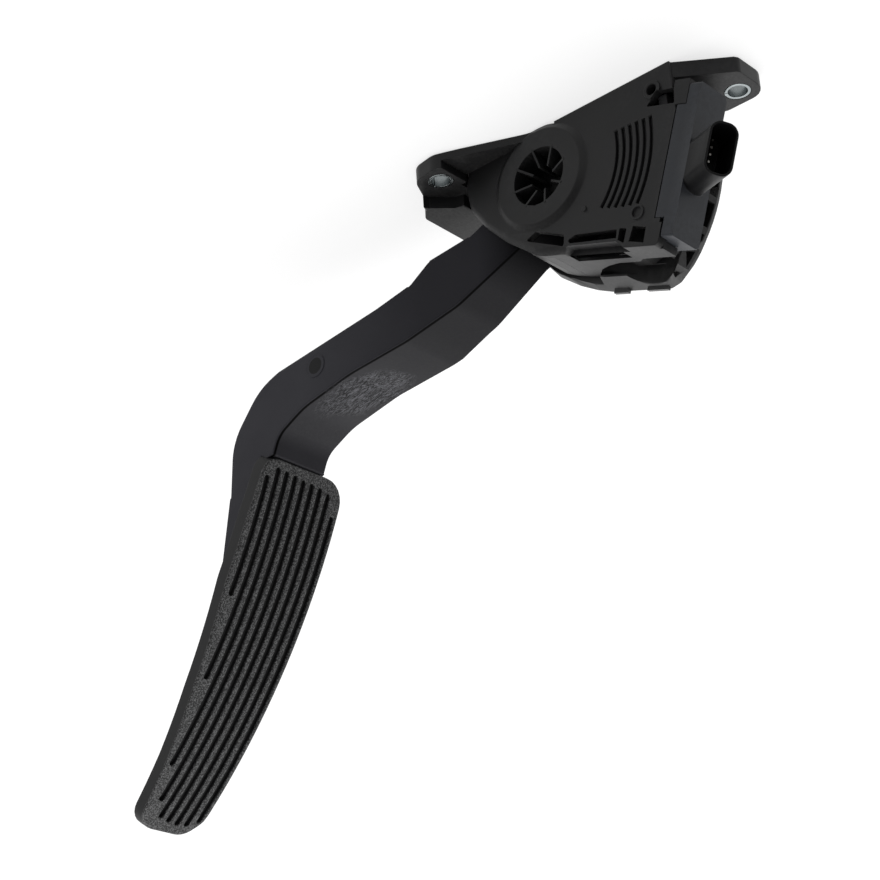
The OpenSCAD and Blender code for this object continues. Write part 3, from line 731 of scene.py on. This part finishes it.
def worn_away(group, given, end, mask, breaks):
    """Ends a mask's group: the mask broken up by noise and scaled by the amount."""
    both = maths(group, "MULTIPLY", -150, 100, mask, breaks)
    fill(group, end, Mask=maths(group, "MULTIPLY", 100, 100, both, given["Amount"]))
    return group


def edge_wear_group():
    """Edges rubbed lighter, broken up by noise."""
    found = bpy.data.node_groups.get("Edge wear")
    if found:
        return found
    group, given, end = new_group("Edge wear", {"Amount": 0.5}, ("Mask",))
    geometry = add(group, "ShaderNodeNewGeometry", -700, 200)
    edge = spread(group, -450, 200, geometry.outputs["Pointiness"], 0.52, 0.62)
    breaks = noise(group, -700, -80, given["Vector"], 420.0, 4.0, 0.65)
    return worn_away(group, given, end, edge, spread(group, -450, -80, breaks, 0.35, 0.62))


def dust_group():
    """Thin dust that lies on faces that look up."""
    found = bpy.data.node_groups.get("Handling dust")
    if found:
        return found
    group, given, end = new_group("Handling dust", {"Amount": 0.2}, ("Mask",))
    geometry = add(group, "ShaderNodeNewGeometry", -800, 200)
    split = add(group, "ShaderNodeSeparateXYZ", -600, 200, Vector=geometry.outputs["Normal"])
    up = spread(group, -400, 200, split.outputs["Z"], 0.2, 1.0)
    specks = noise(group, -600, -60, given["Vector"], 900.0, 5.0, 0.7)
    return worn_away(group, given, end, up, spread(group, -400, -60, specks, 0.42, 0.75))


def use_group(tree, group, x, y, where, **values):
    """Places a node group in a material and feeds it the object's coordinates."""
    made = tree.nodes.new("ShaderNodeGroup")
    made.node_tree = group
    made.location = (x, y)
    made.label = group.name
    fill(tree, made, Vector=where, **values)
    return made.outputs


def fed(shader):
    """What goes into each linked socket of a shader."""
    return {socket.name: socket.links[0].from_socket for socket in shader.inputs if socket.links}


DUST = (0.16, 0.155, 0.15)


def moulded_plastic(tree, where, shader, tone, roughness, specular, lighter, depth,
                    grain_size=2600.0, wear=0.4, dust=0.15):
    """Moulded plastic: clouded gloss, fine grain, rubbed edges and a little dust."""
    base = getattr(colours(), tone) if isinstance(tone, str) else tone
    grain = use_group(tree, moulded_grain_group(), -1000, 250, where, Grain_size=grain_size)
    rubbed = use_group(tree, edge_wear_group(), -1000, 0, where, Amount=wear)
    lying = use_group(tree, dust_group(), -1000, -220, where, Amount=dust)
    clouded = mix_colours(tree, -700, 260, grain["Cloud"], times(base, 0.9), times(base, 1.12))
    worn = mix_colours(tree, -460, 180, rubbed["Mask"], clouded, times(base, lighter))
    dusty = mix_colours(tree, -220, 120, lying["Mask"], worn, DUST)
    gloss = spread(tree, -460, -80, grain["Cloud"],
                   to_low=roughness - 0.05, to_high=roughness + 0.06)
    relief = bump(tree, -100, -300, grain["Height"], 0.5, depth * MM)
    fill(tree, shader, Base_Color=dusty, Roughness=gloss, Specular_IOR_Level=specular,
         Normal=relief)


# Painted shade of the connector and its mouth.
CONNECTOR_SHADE = (0.006, 0.006, 0.0065)


def connector_end(tree, where, shader):
    """Paints shade on the module's plastic where the connector stands out from its end: blacker,
    with less sheen.
    """
    way_out = (0.0, -math.cos(TILT), math.sin(TILT))
    along = vector_maths(tree, "DOT_PRODUCT", -1000, 520, where, way_out)
    ends = PIVOT_Z * math.sin(TILT) + MODULE_END
    inlet = spread(tree, -780, 520, along, (ends + 0.1) * MM, (ends + 0.5) * MM)
    connector_shaded = mix_colours(tree, -140, 240, inlet, fed(shader)["Base Color"], CONNECTOR_SHADE)
    sheen = spread(tree, -560, 520, inlet, to_low=0.25, to_high=0.12)
    fill(tree, shader, Base_Color=connector_shaded, Specular_IOR_Level=sheen)


MARK_Y = 114.4
MARK_Z = 46.7
PATCH_PLACE = (-4, 103, 58)
PATCH_SIZE = (13, 21, 7)
PATCH_TURN = (math.radians(14), 0, math.radians(-18))
FLAKE_TURN = (0, 0, math.radians(35))
# Painted shadow line along the arm's front edge lies at this x.
SHADOW_LINE_X = 9.0
ARM_SHEEN = 0.13
# Painted shade of the arm towards the hub and inside the housing.
ARM_SHADED = (0.003, 0.003, 0.0033)
# Colour of the painted shadow line.
ARM_SHADOW_LINE = (0.002, 0.002, 0.002)
# Painted light on the near side face of the arm.
ARM_LIT_SIDE = (0.042, 0.0415, 0.05)
ARM_MARK = (0.003, 0.003, 0.003)
# The crinkled patch: a darker ground, with its flakes painted light as glints.
PATCH_GROUND = (0.004, 0.004, 0.005)
PATCH_GLINT = (0.115, 0.115, 0.128)


def crinkled_patch(tree, where):
    """Masks of the glossy patch on the front of the bend and of the flakes in it."""
    place = mapped(tree, -1000, -600, where, vector_type="TEXTURE",
                   Location=metres(*PATCH_PLACE), Rotation=PATCH_TURN, Scale=metres(*PATCH_SIZE))
    far = vector_maths(tree, "LENGTH", -780, -600, place)
    ragged = noise(tree, -1000, -860, where, 120.0, 8.0, 0.75)
    reach = maths(tree, "ADD", -560, -640, far, ragged)
    inside = spread(tree, -360, -640, reach, 1.5, 1.15)
    stretch = mapped(tree, -1000, -1120, where, Rotation=FLAKE_TURN, Scale=(2.6, 0.7, 1.3))
    streak = noise(tree, -780, -1120, stretch, 260.0, 8.0, 0.78, distortion=2.6)
    flake = spread(tree, -560, -1120, streak, 0.48, 0.56)
    return inside, maths(tree, "MULTIPLY", -140, -800, inside, flake)


def arm_tones(tree, where, shader):
    """Paints shade on the arm towards the hub and where it goes into the housing, paints a shadow
    line along its front edge and light on its near side, and gives it its round mark and a patch
    with painted glints.
    """
    held = fed(shader)
    along = add(tree, "ShaderNodeSeparateXYZ", -1000, 520, Vector=where).outputs
    # Painted shade: the arm grows darker towards the hub and darker still inside the housing, and
    # its sheen drops with it.
    low = spread(tree, -780, 520, along["Y"], 60 * MM, 122 * MM, to_low=0.47)
    housing_shade = spread(tree, -780, 760, along["Y"], 16 * MM, 34 * MM, to_low=0.12)
    shaded = maths(tree, "MULTIPLY", -560, 700, low, housing_shade)
    painted_shade = mix_colours(tree, -140, 240, shaded, ARM_SHADED, held["Base Color"])
    # Painted shadow line along the front edge: darker colour and less sheen.
    from_edge = maths(tree, "SUBTRACT", -780, 980, along["X"], SHADOW_LINE_X * MM)
    away = maths(tree, "ABSOLUTE", -560, 980, from_edge)
    line = spread(tree, -340, 980, away, 0.7 * MM, 0.35 * MM)
    shadow_lined = mix_colours(tree, -20, 420, line, painted_shade, ARM_SHADOW_LINE)
    # Painted light: the near side face is made paler, less so where the painted shade falls.
    lit_side = spread(tree, -340, 1240, along["X"], 9.5 * MM, 9.9 * MM)
    side_light = maths(tree, "MULTIPLY", -120, 1240, lit_side, shaded)
    side_lit = mix_colours(tree, 80, 560, side_light, shadow_lined, ARM_LIT_SIDE)
    mark = mapped(tree, -1000, 1240, where, Location=metres(0, -MARK_Y, -MARK_Z), Scale=(0, 1, 1))
    from_mark = vector_maths(tree, "LENGTH", -780, 1240, mark)
    disc = spread(tree, -560, 1240, from_mark, 3.4 * MM, 3.0 * MM, to_high=0.95)
    marked = mix_colours(tree, 160, 420, disc, side_lit, ARM_MARK)
    # The patch gets a darker ground and painted glints on its flakes.
    inside, patch = crinkled_patch(tree, where)
    ground = maths(tree, "MULTIPLY", -140, -980, inside, 0.9)
    darker = mix_colours(tree, 340, 420, ground, marked, PATCH_GROUND)
    glinting = mix_colours(tree, 60, 240, patch, darker, PATCH_GLINT)
    sheen = maths(tree, "MULTIPLY", -560, 520, shaded, ARM_SHEEN)
    matt = maths(tree, "MULTIPLY_ADD", -120, 800, line, -0.9, 1.0)
    dull = maths(tree, "MULTIPLY", 60, 700, sheen, matt)
    glossy = add(tree, "ShaderNodeMix", 60, -60, data_type="FLOAT")
    for i, value in ((0, patch), (2, held["Roughness"]), (3, 0.3)):
        feed(tree, glossy.inputs[i], value)
    crinkle = bump(tree, 60, -420, patch, 0.55, 0.08 * MM, Normal=held["Normal"])
    fill(tree, shader, Base_Color=glinting, Roughness=glossy.outputs[0], Specular_IOR_Level=dull,
         Normal=crinkle)


TREAD_START = Vector((0.0, 0.1382, 0.0753))
TREAD_LEAN = math.radians(20.66)
TREAD_RADIUS = 0.2755


def pad_rubber(tree, where, shader):
    """Rubber with a coarse pebble on its lands, glints painted light on the pebbles' tops, and
    smooth dark grooves.
    """
    middle = TREAD_START + TREAD_RADIUS * Vector((0, math.cos(TREAD_LEAN), -math.sin(TREAD_LEAN)))
    shifted = mapped(tree, -1050, -300, where,
                     Location=(0, -middle.y, -middle.z), Scale=(0, 1, 1))
    radius = vector_maths(tree, "LENGTH", -840, -300, shifted)
    land = spread(tree, -640, -300, radius, TREAD_RADIUS - 0.9 * MM, TREAD_RADIUS - 0.35 * MM)
    grain = use_group(tree, moulded_grain_group(), -1050, 250, where, Grain_size=1500.0)
    pebble = noise(tree, -1050, 0, where, 1750.0, 3.0, 0.75)
    # Painted highlights: the pebbles' tops on the lands are painted light as glints, and made
    # glossier.
    pebble_tops = spread(tree, -640, 0, pebble, 0.47, 0.6)
    land_tops = maths(tree, "MULTIPLY", -420, -60, land, pebble_tops)
    pad_glints = mix_colours(tree, -180, 160, land_tops, colours().pad, colours().grain)
    rough = spread(tree, -180, -120, land_tops, to_low=0.62, to_high=0.4)
    height = maths(tree, "MULTIPLY", -420, -420, pebble, land)
    coarse = bump(tree, -100, -420, height, 0.8, 0.12 * MM)
    fine = bump(tree, 100, -420, grain["Height"], 0.4, 0.02 * MM, Normal=coarse)
    fill(tree, shader, Base_Color=pad_glints, Roughness=rough, Specular_IOR_Level=0.35,
         Normal=fine)


def plated_metal(tree, where, shader, tone, roughness, brush, dark):
    """Plated steel with a slight mottle and fine drawn scratches."""
    base = getattr(colours(), tone)
    grain = use_group(tree, moulded_grain_group(), -1000, 250, where,
                      Grain_size=3200.0, Cloud_size=700.0)
    wear = use_group(tree, edge_wear_group(), -1000, 0, where, Amount=0.4)
    mottled = mix_colours(tree, -600, 220, grain["Cloud"], times(base, dark), base)
    rubbed = mix_colours(tree, -300, 180, wear["Mask"], mottled, times(base, 1.1))
    drawn = mapped(tree, -1000, -300, where, Scale=brush)
    lines = noise(tree, -780, -300, drawn, 2400.0, 3.0, 0.6)
    gloss = spread(tree, -460, -120, lines, to_low=roughness - 0.08, to_high=roughness + 0.1)
    relief = bump(tree, -100, -300, lines, 0.3, 0.006 * MM)
    fill(tree, shader, Base_Color=rubbed, Roughness=gloss, Metallic=1.0, Normal=relief)


def board_green(tree, where, shader):
    """Green solder mask over faint copper runs."""
    grain = use_group(tree, moulded_grain_group(), -1000, 250, where, Grain_size=3500.0)
    runs = add(tree, "ShaderNodeTexBrick", -1000, -60, Vector=where, Scale=160.0,
               Color1=(0.0, 0.0, 0.0, 1.0), Color2=(0.12, 0.12, 0.12, 1.0),
               Mortar=(1.0, 1.0, 1.0, 1.0))
    fill(tree, runs, Mortar_Size=0.05)
    base = colours().board
    tracked = mix_colours(tree, -500, 120, runs.outputs["Color"], base, times(base, 1.9))
    gloss = spread(tree, -460, -120, grain["Cloud"], to_low=0.28, to_high=0.36)
    relief = bump(tree, -100, -300, grain["Height"], 0.4, 0.02 * MM)
    fill(tree, shader, Base_Color=tracked, Roughness=gloss, Normal=relief)


# Colour, roughness, gloss, how much lighter rubbed edges are, depth of the grain in
# millimetres, size of the grain, rubbed edges and dust.
PLASTICS = {
    "Housing plastic": ("housing", 0.42, 0.2, 2.4, 0.012),
    "Cover plastic": ("housing", 0.42, 0.9, 2.2, 0.012),
    "Arm plastic": ("arm", 0.45, 0.25, 2.2, 0.01, 2600.0, 0.3, 0.05),
    "Sensor plastic": ("sensor", 0.42, 0.25, 2.0, 0.01),
    "Shoe plastic": ("shoe", 0.45, 0.3, 2.0, 0.01, 2600.0, 0.2, 0.05),
    "Seat plastic": ("seat", 0.45, 0.4, 1.1, 0.008, 2600.0, 0.1, 0.05),
    "Magnet grey": ("magnet", 0.5, 0.5, 1.6, 0.02, 3800.0, 0.6),
    "Chip black": ((0.01, 0.01, 0.01), 0.42, 0.4, 1.8, 0.006, 4200.0, 0.4, 0.02),
    "Bumper rubber": ((0.012, 0.012, 0.012), 0.7, 0.2, 1.6, 0.02, 1800.0),
}
# Colour, roughness, way of the scratches and how much darker the mottle is.
METALS = {
    "Zinc plated steel": ("zinc", 0.26, (1, 1, 0.12), 0.9),
    "Spring steel": ("spring", 0.34, (1, 1, 1), 0.7),
    # The terminals' tin is darkened as painted shade.
    "Terminal tin": ("tin", 0.3, (1, 0.2, 1), 0.85),
}
OTHERS = {
    "Arm plastic": arm_tones,
    "Sensor plastic": connector_end,
    "Pad rubber": pad_rubber,
    "Board green": board_green,
}


def material_of(name):
    """The material of that name, made where there is none yet."""
    found = bpy.data.materials.get(name)
    if found:
        return found
    material = bpy.data.materials.new(name)
    material.use_nodes = True
    tree = material.node_tree
    tree.nodes.clear()
    where = add(tree, "ShaderNodeTexCoord", -1300, 0).outputs["Object"]
    shader = add(tree, "ShaderNodeBsdfPrincipled", 300, 0)
    add(tree, "ShaderNodeOutputMaterial", 620, 0, Surface=shader.outputs["BSDF"])
    if name in PLASTICS:
        moulded_plastic(tree, where, shader, *PLASTICS[name])
    if name in METALS:
        plated_metal(tree, where, shader, *METALS[name])
    if name in OTHERS:
        OTHERS[name](tree, where, shader)
    return material


class PEDAL_OT_housing(bpy.types.Operator):
    """Rounds and finishes the housing and its far cover"""
    bl_idname = "pedal.housing"
    bl_label = "Housing and cover"

    def execute(self, context):
        piece = copy_of("housing", "housing_moulded")
        carve(piece, belly_zone(), CUT)
        carve(piece, belly_part(), JOIN)
        for window, depth in zip(WINDOWS, WINDOW_DEPTHS):
            hole = plate(window, NEAR_X - depth, NEAR_X + 1)
            carve(piece, hole, CUT)
        carve(piece, rounded_rim(), CUT)
        carve(piece, end_block(), JOIN)
        self.finish(piece, "housing", "Housing plastic")
        piece = copy_of("far_cover", "far_cover_moulded")
        carve(piece, belly_zone(), CUT)
        carve(piece, belly_cover(), JOIN)
        self.finish(piece, "far_cover", "Cover plastic")
        return {"FINISHED"}

    def finish(self, piece, node, material):
        soften(piece, sizes().moulded_edge)
        finish_piece(piece, "housing", "housing_plastic", material, node)


class PEDAL_OT_sleeves(bpy.types.Operator):
    """Rounds the ends of the rolled sleeves and plates them"""
    bl_idname = "pedal.sleeves"
    bl_label = "Steel sleeves"

    def execute(self, context):
        for node in ("sleeve_left", "sleeve_right"):
            piece = merged_copy(node, node + "_rolled")
            soften(piece, sizes().sleeve_edge, angle=50)
            finish_piece(piece, "housing", "zinc_steel", "Zinc plated steel", node)
        return {"FINISHED"}


class PEDAL_OT_arm(bpy.types.Operator):
    """Rounds and finishes the arm and adds its plain moulded ring"""
    bl_idname = "pedal.arm"
    bl_label = "Pedal arm"

    def execute(self, context):
        piece = copy_of("pedal_arm", "pedal_arm_moulded")
        soften(piece, sizes().arm_edge)
        finish_piece(piece, "pedal", "arm_plastic", "Arm plastic", "pedal_arm")
        self.ring()
        return {"FINISHED"}

    def ring(self):
        """A raised plain ring on the near face of the blade."""
        outer = sizes().mark_radius
        height = sizes().mark_height
        piece = basic("cylinder", "arm_ring_mark", vertices=64, radius=outer, depth=2 * height,
                      location=metres(10, MARK_Y, MARK_Z), rotation=(0, math.pi / 2, 0))
        edit(piece, "DESELECT")
        leave_edit()
        for face in piece.data.polygons:
            face.select = face.normal.x > 0.9
        bpy.ops.object.mode_set(mode="EDIT")
        bpy.ops.mesh.select_mode(type="FACE")
        bpy.ops.mesh.inset(thickness=0.7 * MM)
        bpy.ops.transform.translate(value=(-0.8 * height, 0, 0))
        bpy.ops.mesh.inset(thickness=1.6 * MM)
        bpy.ops.transform.translate(value=(0.6 * height, 0, 0))
        leave_edit()
        soften(piece, 0.1 * MM, angle=30)
        finish_piece(piece, "pedal", "arm_plastic", "Arm plastic")


class PEDAL_OT_pad(bpy.types.Operator):
    """Rounds the tread's rubber and gives it its pebbled lands"""
    bl_idname = "pedal.pad"
    bl_label = "Pedal pad"

    def execute(self, context):
        piece = copy_of("pedal_pad", "pedal_pad_rubber")
        soften(piece, sizes().pad_edge, angle=40)
        finish_piece(piece, "pedal", "pad_rubber", "Pad rubber", "pedal_pad")
        return {"FINISHED"}


END_PART = 0.1
END_RISE = 0.35
EVEN_RISE = 1.1625


class PEDAL_OT_springs(bpy.types.Operator):
    """Winds the two return springs with closed ends"""
    bl_idname = "pedal.springs"
    bl_label = "Return springs"

    def execute(self, context):
        self.wind("return_spring_outer", sizes().outer_wire, 7)
        self.wind("return_spring_inner", sizes().inner_wire, 9)
        return {"FINISHED"}

    def wind(self, node, wire, turns):
        """Winds one spring: rises slowly over its first and last turns and evenly between."""
        low, high = (Vector(c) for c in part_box(node))
        centre = (low + high) / 2
        mean = (high.x - low.x - wire) / 2
        rise = high.z - low.z - wire
        pitch = rise / turns
        piece = basic("circle", node + "_wound", vertices=14, radius=wire / 2,
                      location=(mean, 0, 0), rotation=(math.pi / 2, 0, 0))
        screw = piece.modifiers.new("Wind", "SCREW")
        screw.axis = "Z"
        screw.angle = 2 * math.pi
        screw.screw_offset = pitch
        screw.iterations = turns
        screw.steps = 44
        screw.render_steps = 44
        bpy.ops.object.modifier_apply(modifier=screw.name)
        for vertex in piece.data.vertices:
            around = math.atan2(vertex.co.y, vertex.co.x) / (2 * math.pi)
            turn = round(vertex.co.z / pitch - around)
            t = min(1.0, max(0.0, (turn + around) / turns))
            offset = vertex.co.z - pitch * turns * t
            if t < END_PART:
                share = END_RISE * t
            elif t > 1 - END_PART:
                share = 1 - END_RISE * (1 - t)
            else:
                share = END_RISE * END_PART + (t - END_PART) * EVEN_RISE
            vertex.co.z = rise * share + offset
        edit(piece, "DESELECT")
        bpy.ops.mesh.select_non_manifold()
        bpy.ops.mesh.edge_face_add()
        bpy.ops.mesh.select_all(action="SELECT")
        bpy.ops.mesh.normals_make_consistent(inside=False)
        leave_edit()
        piece.location = (centre.x, centre.y, low.z + wire / 2)
        settle(piece)
        bpy.ops.object.shade_smooth_by_angle(angle=math.radians(50))
        finish_piece(piece, "pedal", "spring_steel", "Spring steel", node)
        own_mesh(piece)


class PEDAL_OT_sensor(bpy.types.Operator):
    """Rounds the sensor module and finishes what it holds"""
    bl_idname = "pedal.sensor"
    bl_label = "Sensor module"

    def execute(self, context):
        piece = copy_of("sensor_housing", "sensor_housing_moulded")
        soften(piece, sizes().sensor_edge)
        finish_piece(piece, "housing", "sensor_plastic", "Sensor plastic", "sensor_housing")
        finish_nodes("Sensor plastic", "sensor_lid")
        finish_nodes("Board green", "circuit_board")
        finish_nodes("Chip black", "sensor_chip_a", "sensor_chip_b")
        finish_nodes("Terminal tin", *("terminal_%d" % i for i in range(1, 7)))
        return {"FINISHED"}


class PEDAL_OT_inside(bpy.types.Operator):
    """Finishes the friction shoe, the spring seat, the bumper and the magnet"""
    bl_idname = "pedal.inside"
    bl_label = "Parts inside the housing"

    def execute(self, context):
        piece = copy_of("friction_shoe", "friction_shoe_moulded")
        carve(piece, block(SLOT_X - WALL - 0.2, 20, -80, 80, 0, 90, upward), CUT)
        soften(piece, sizes().moulded_edge)
        finish_piece(piece, "housing", "shoe_plastic", "Shoe plastic", "friction_shoe")
        finish_nodes("Seat plastic", "spring_seat")
        finish_nodes("Bumper rubber", "idle_bumper")
        finish_nodes("Magnet grey", "sensor_magnet")
        return {"FINISHED"}


WHITE = (1.0, 1.0, 1.0, 1.0)
SKY_BRIGHTEST = (-0.55, 0.45, 0.70)
LAMP_SIZE = 1.0
LAMP_PLACE = Vector((-0.25, 0.4, 1.25))
LAMP_AIM = Vector((0.0, 0.03, 0.06))
LENS = 94.09
CAMERA_PLACE = Vector((0.5562, -0.4050, 0.4448))
CAMERA_RIGHT = Vector((-0.6645, -0.7452, 0.0553))
CAMERA_BACK = Vector((0.6875, -0.5807, 0.436))


class PEDAL_OT_stage(bpy.types.Operator):
    """Sets the floor, the soft light and the camera"""
    bl_idname = "pedal.stage"
    bl_label = "Stage"

    def execute(self, context):
        self.floor()
        self.light()
        self.camera()
        return {"FINISHED"}

    def floor(self):
        floor = basic("plane", "floor", size=8, location=(0, 0, -0.3 * MM))
        material = bpy.data.materials.new("Pale floor")
        material.use_nodes = True
        tree = material.node_tree
        tree.nodes.clear()
        tone = stage_values().floor_tone
        seen = add(tree, "ShaderNodeLightPath", -900, -200).outputs
        through = maths(tree, "MAXIMUM", -700, -150, seen["Is Camera Ray"],
                        seen["Is Transmission Ray"])
        mirrored = maths(tree, "MAXIMUM", -700, -330, through, seen["Is Glossy Ray"])
        power = maths(tree, "MULTIPLY", -500, -150, mirrored, stage_values().floor_lift)
        matt = add(tree, "ShaderNodeBsdfDiffuse", -300, 100, Color=(tone, tone, tone, 1.0))
        lift = add(tree, "ShaderNodeEmission", -300, -100, Color=WHITE, Strength=power)
        both = add(tree, "ShaderNodeAddShader", -50, 0)
        for socket, shader in zip(both.inputs, (matt, lift)):
            feed(tree, socket, shader.outputs[0])
        add(tree, "ShaderNodeOutputMaterial", 200, 0, Surface=both.outputs[0])
        floor.data.materials.append(material)

    def light(self):
        world = bpy.data.worlds.new("Soft sky")
        bpy.context.scene.world = world
        world.use_nodes = True
        tree = world.node_tree
        sky = add(tree, "ShaderNodeTexCoord", -800, 0).outputs["Generated"]
        towards = vector_maths(tree, "DOT_PRODUCT", -600, 0, sky, SKY_BRIGHTEST)
        strength = add(tree, "ShaderNodeMapRange", -400, 0, interpolation_type="SMOOTHSTEP")
        fill(tree, strength, Value=towards, From_Min=-0.2, From_Max=1.0,
             To_Min=stage_values().sky_front, To_Max=stage_values().sky_back)
        fill(tree, tree.nodes["Background"], Color=WHITE, Strength=strength.outputs["Result"])
        lamp = bpy.data.lights.new("lamp_above", "AREA")
        lamp.shape = "SQUARE"
        lamp.size = LAMP_SIZE
        lamp.energy = stage_values().lamp
        holder = placed("lamp_above", lamp)
        way = LAMP_AIM - LAMP_PLACE
        holder.location = LAMP_PLACE
        holder.rotation_euler = way.to_track_quat("-Z", "Y").to_euler()

    def camera(self):
        """Stands the camera where the photo's edges meet the part's."""
        seen = bpy.data.cameras.new("camera")
        seen.lens = LENS
        seen.sensor_width = 36.0
        seen.clip_start = 0.02
        holder = placed("camera", seen)
        back = CAMERA_BACK.normalized()
        up = back.cross(CAMERA_RIGHT).normalized()
        turn = Matrix((up.cross(back), up, back)).transposed().to_4x4()
        turn.translation = CAMERA_PLACE
        holder.matrix_world = turn
        bpy.context.scene.camera = holder
        bpy.context.scene.view_settings.view_transform = "Standard"


OPERATORS = (
    PEDAL_OT_housing,
    PEDAL_OT_sleeves,
    PEDAL_OT_arm,
    PEDAL_OT_pad,
    PEDAL_OT_springs,
    PEDAL_OT_sensor,
    PEDAL_OT_inside,
    PEDAL_OT_stage,
)


class PEDAL_PT_panel(bpy.types.Panel):
    """Lists the steps that dress the pedal"""
    bl_idname = "PEDAL_PT_panel"
    bl_label = "Accelerator pedal"
    bl_space_type = "VIEW_3D"
    bl_region_type = "UI"
    bl_category = "Pedal"

    def draw(self, context):
        layout = self.layout
        for operator in OPERATORS:
            layout.operator(operator.bl_idname)
        for group in (sizes(), colours(), stage_values()):
            box = layout.box()
            for key in group.bl_rna.properties.keys():
                if key not in ("rna_type", "name"):
                    box.prop(group, key)


CLASSES = (PedalColours, PedalSizes, PedalStage, *OPERATORS, PEDAL_PT_panel)


def register():
    for cls in CLASSES:
        bpy.utils.register_class(cls)
    bpy.types.Scene.pedal_colours = bpy.props.PointerProperty(type=PedalColours)
    bpy.types.Scene.pedal_sizes = bpy.props.PointerProperty(type=PedalSizes)
    bpy.types.Scene.pedal_stage = bpy.props.PointerProperty(type=PedalStage)


def unregister():
    del bpy.types.Scene.pedal_stage
    del bpy.types.Scene.pedal_sizes
    del bpy.types.Scene.pedal_colours
    for cls in reversed(CLASSES):
        bpy.utils.unregister_class(cls)


def main():
    register()
    bpy.ops.pedal.housing()
    bpy.ops.pedal.sleeves()
    bpy.ops.pedal.arm()
    bpy.ops.pedal.pad()
    bpy.ops.pedal.springs()
    bpy.ops.pedal.sensor()
    bpy.ops.pedal.inside()
    bpy.ops.pedal.stage()
    bpy.ops.object.select_all(action="DESELECT")


if __name__ == "__main__":
    main()
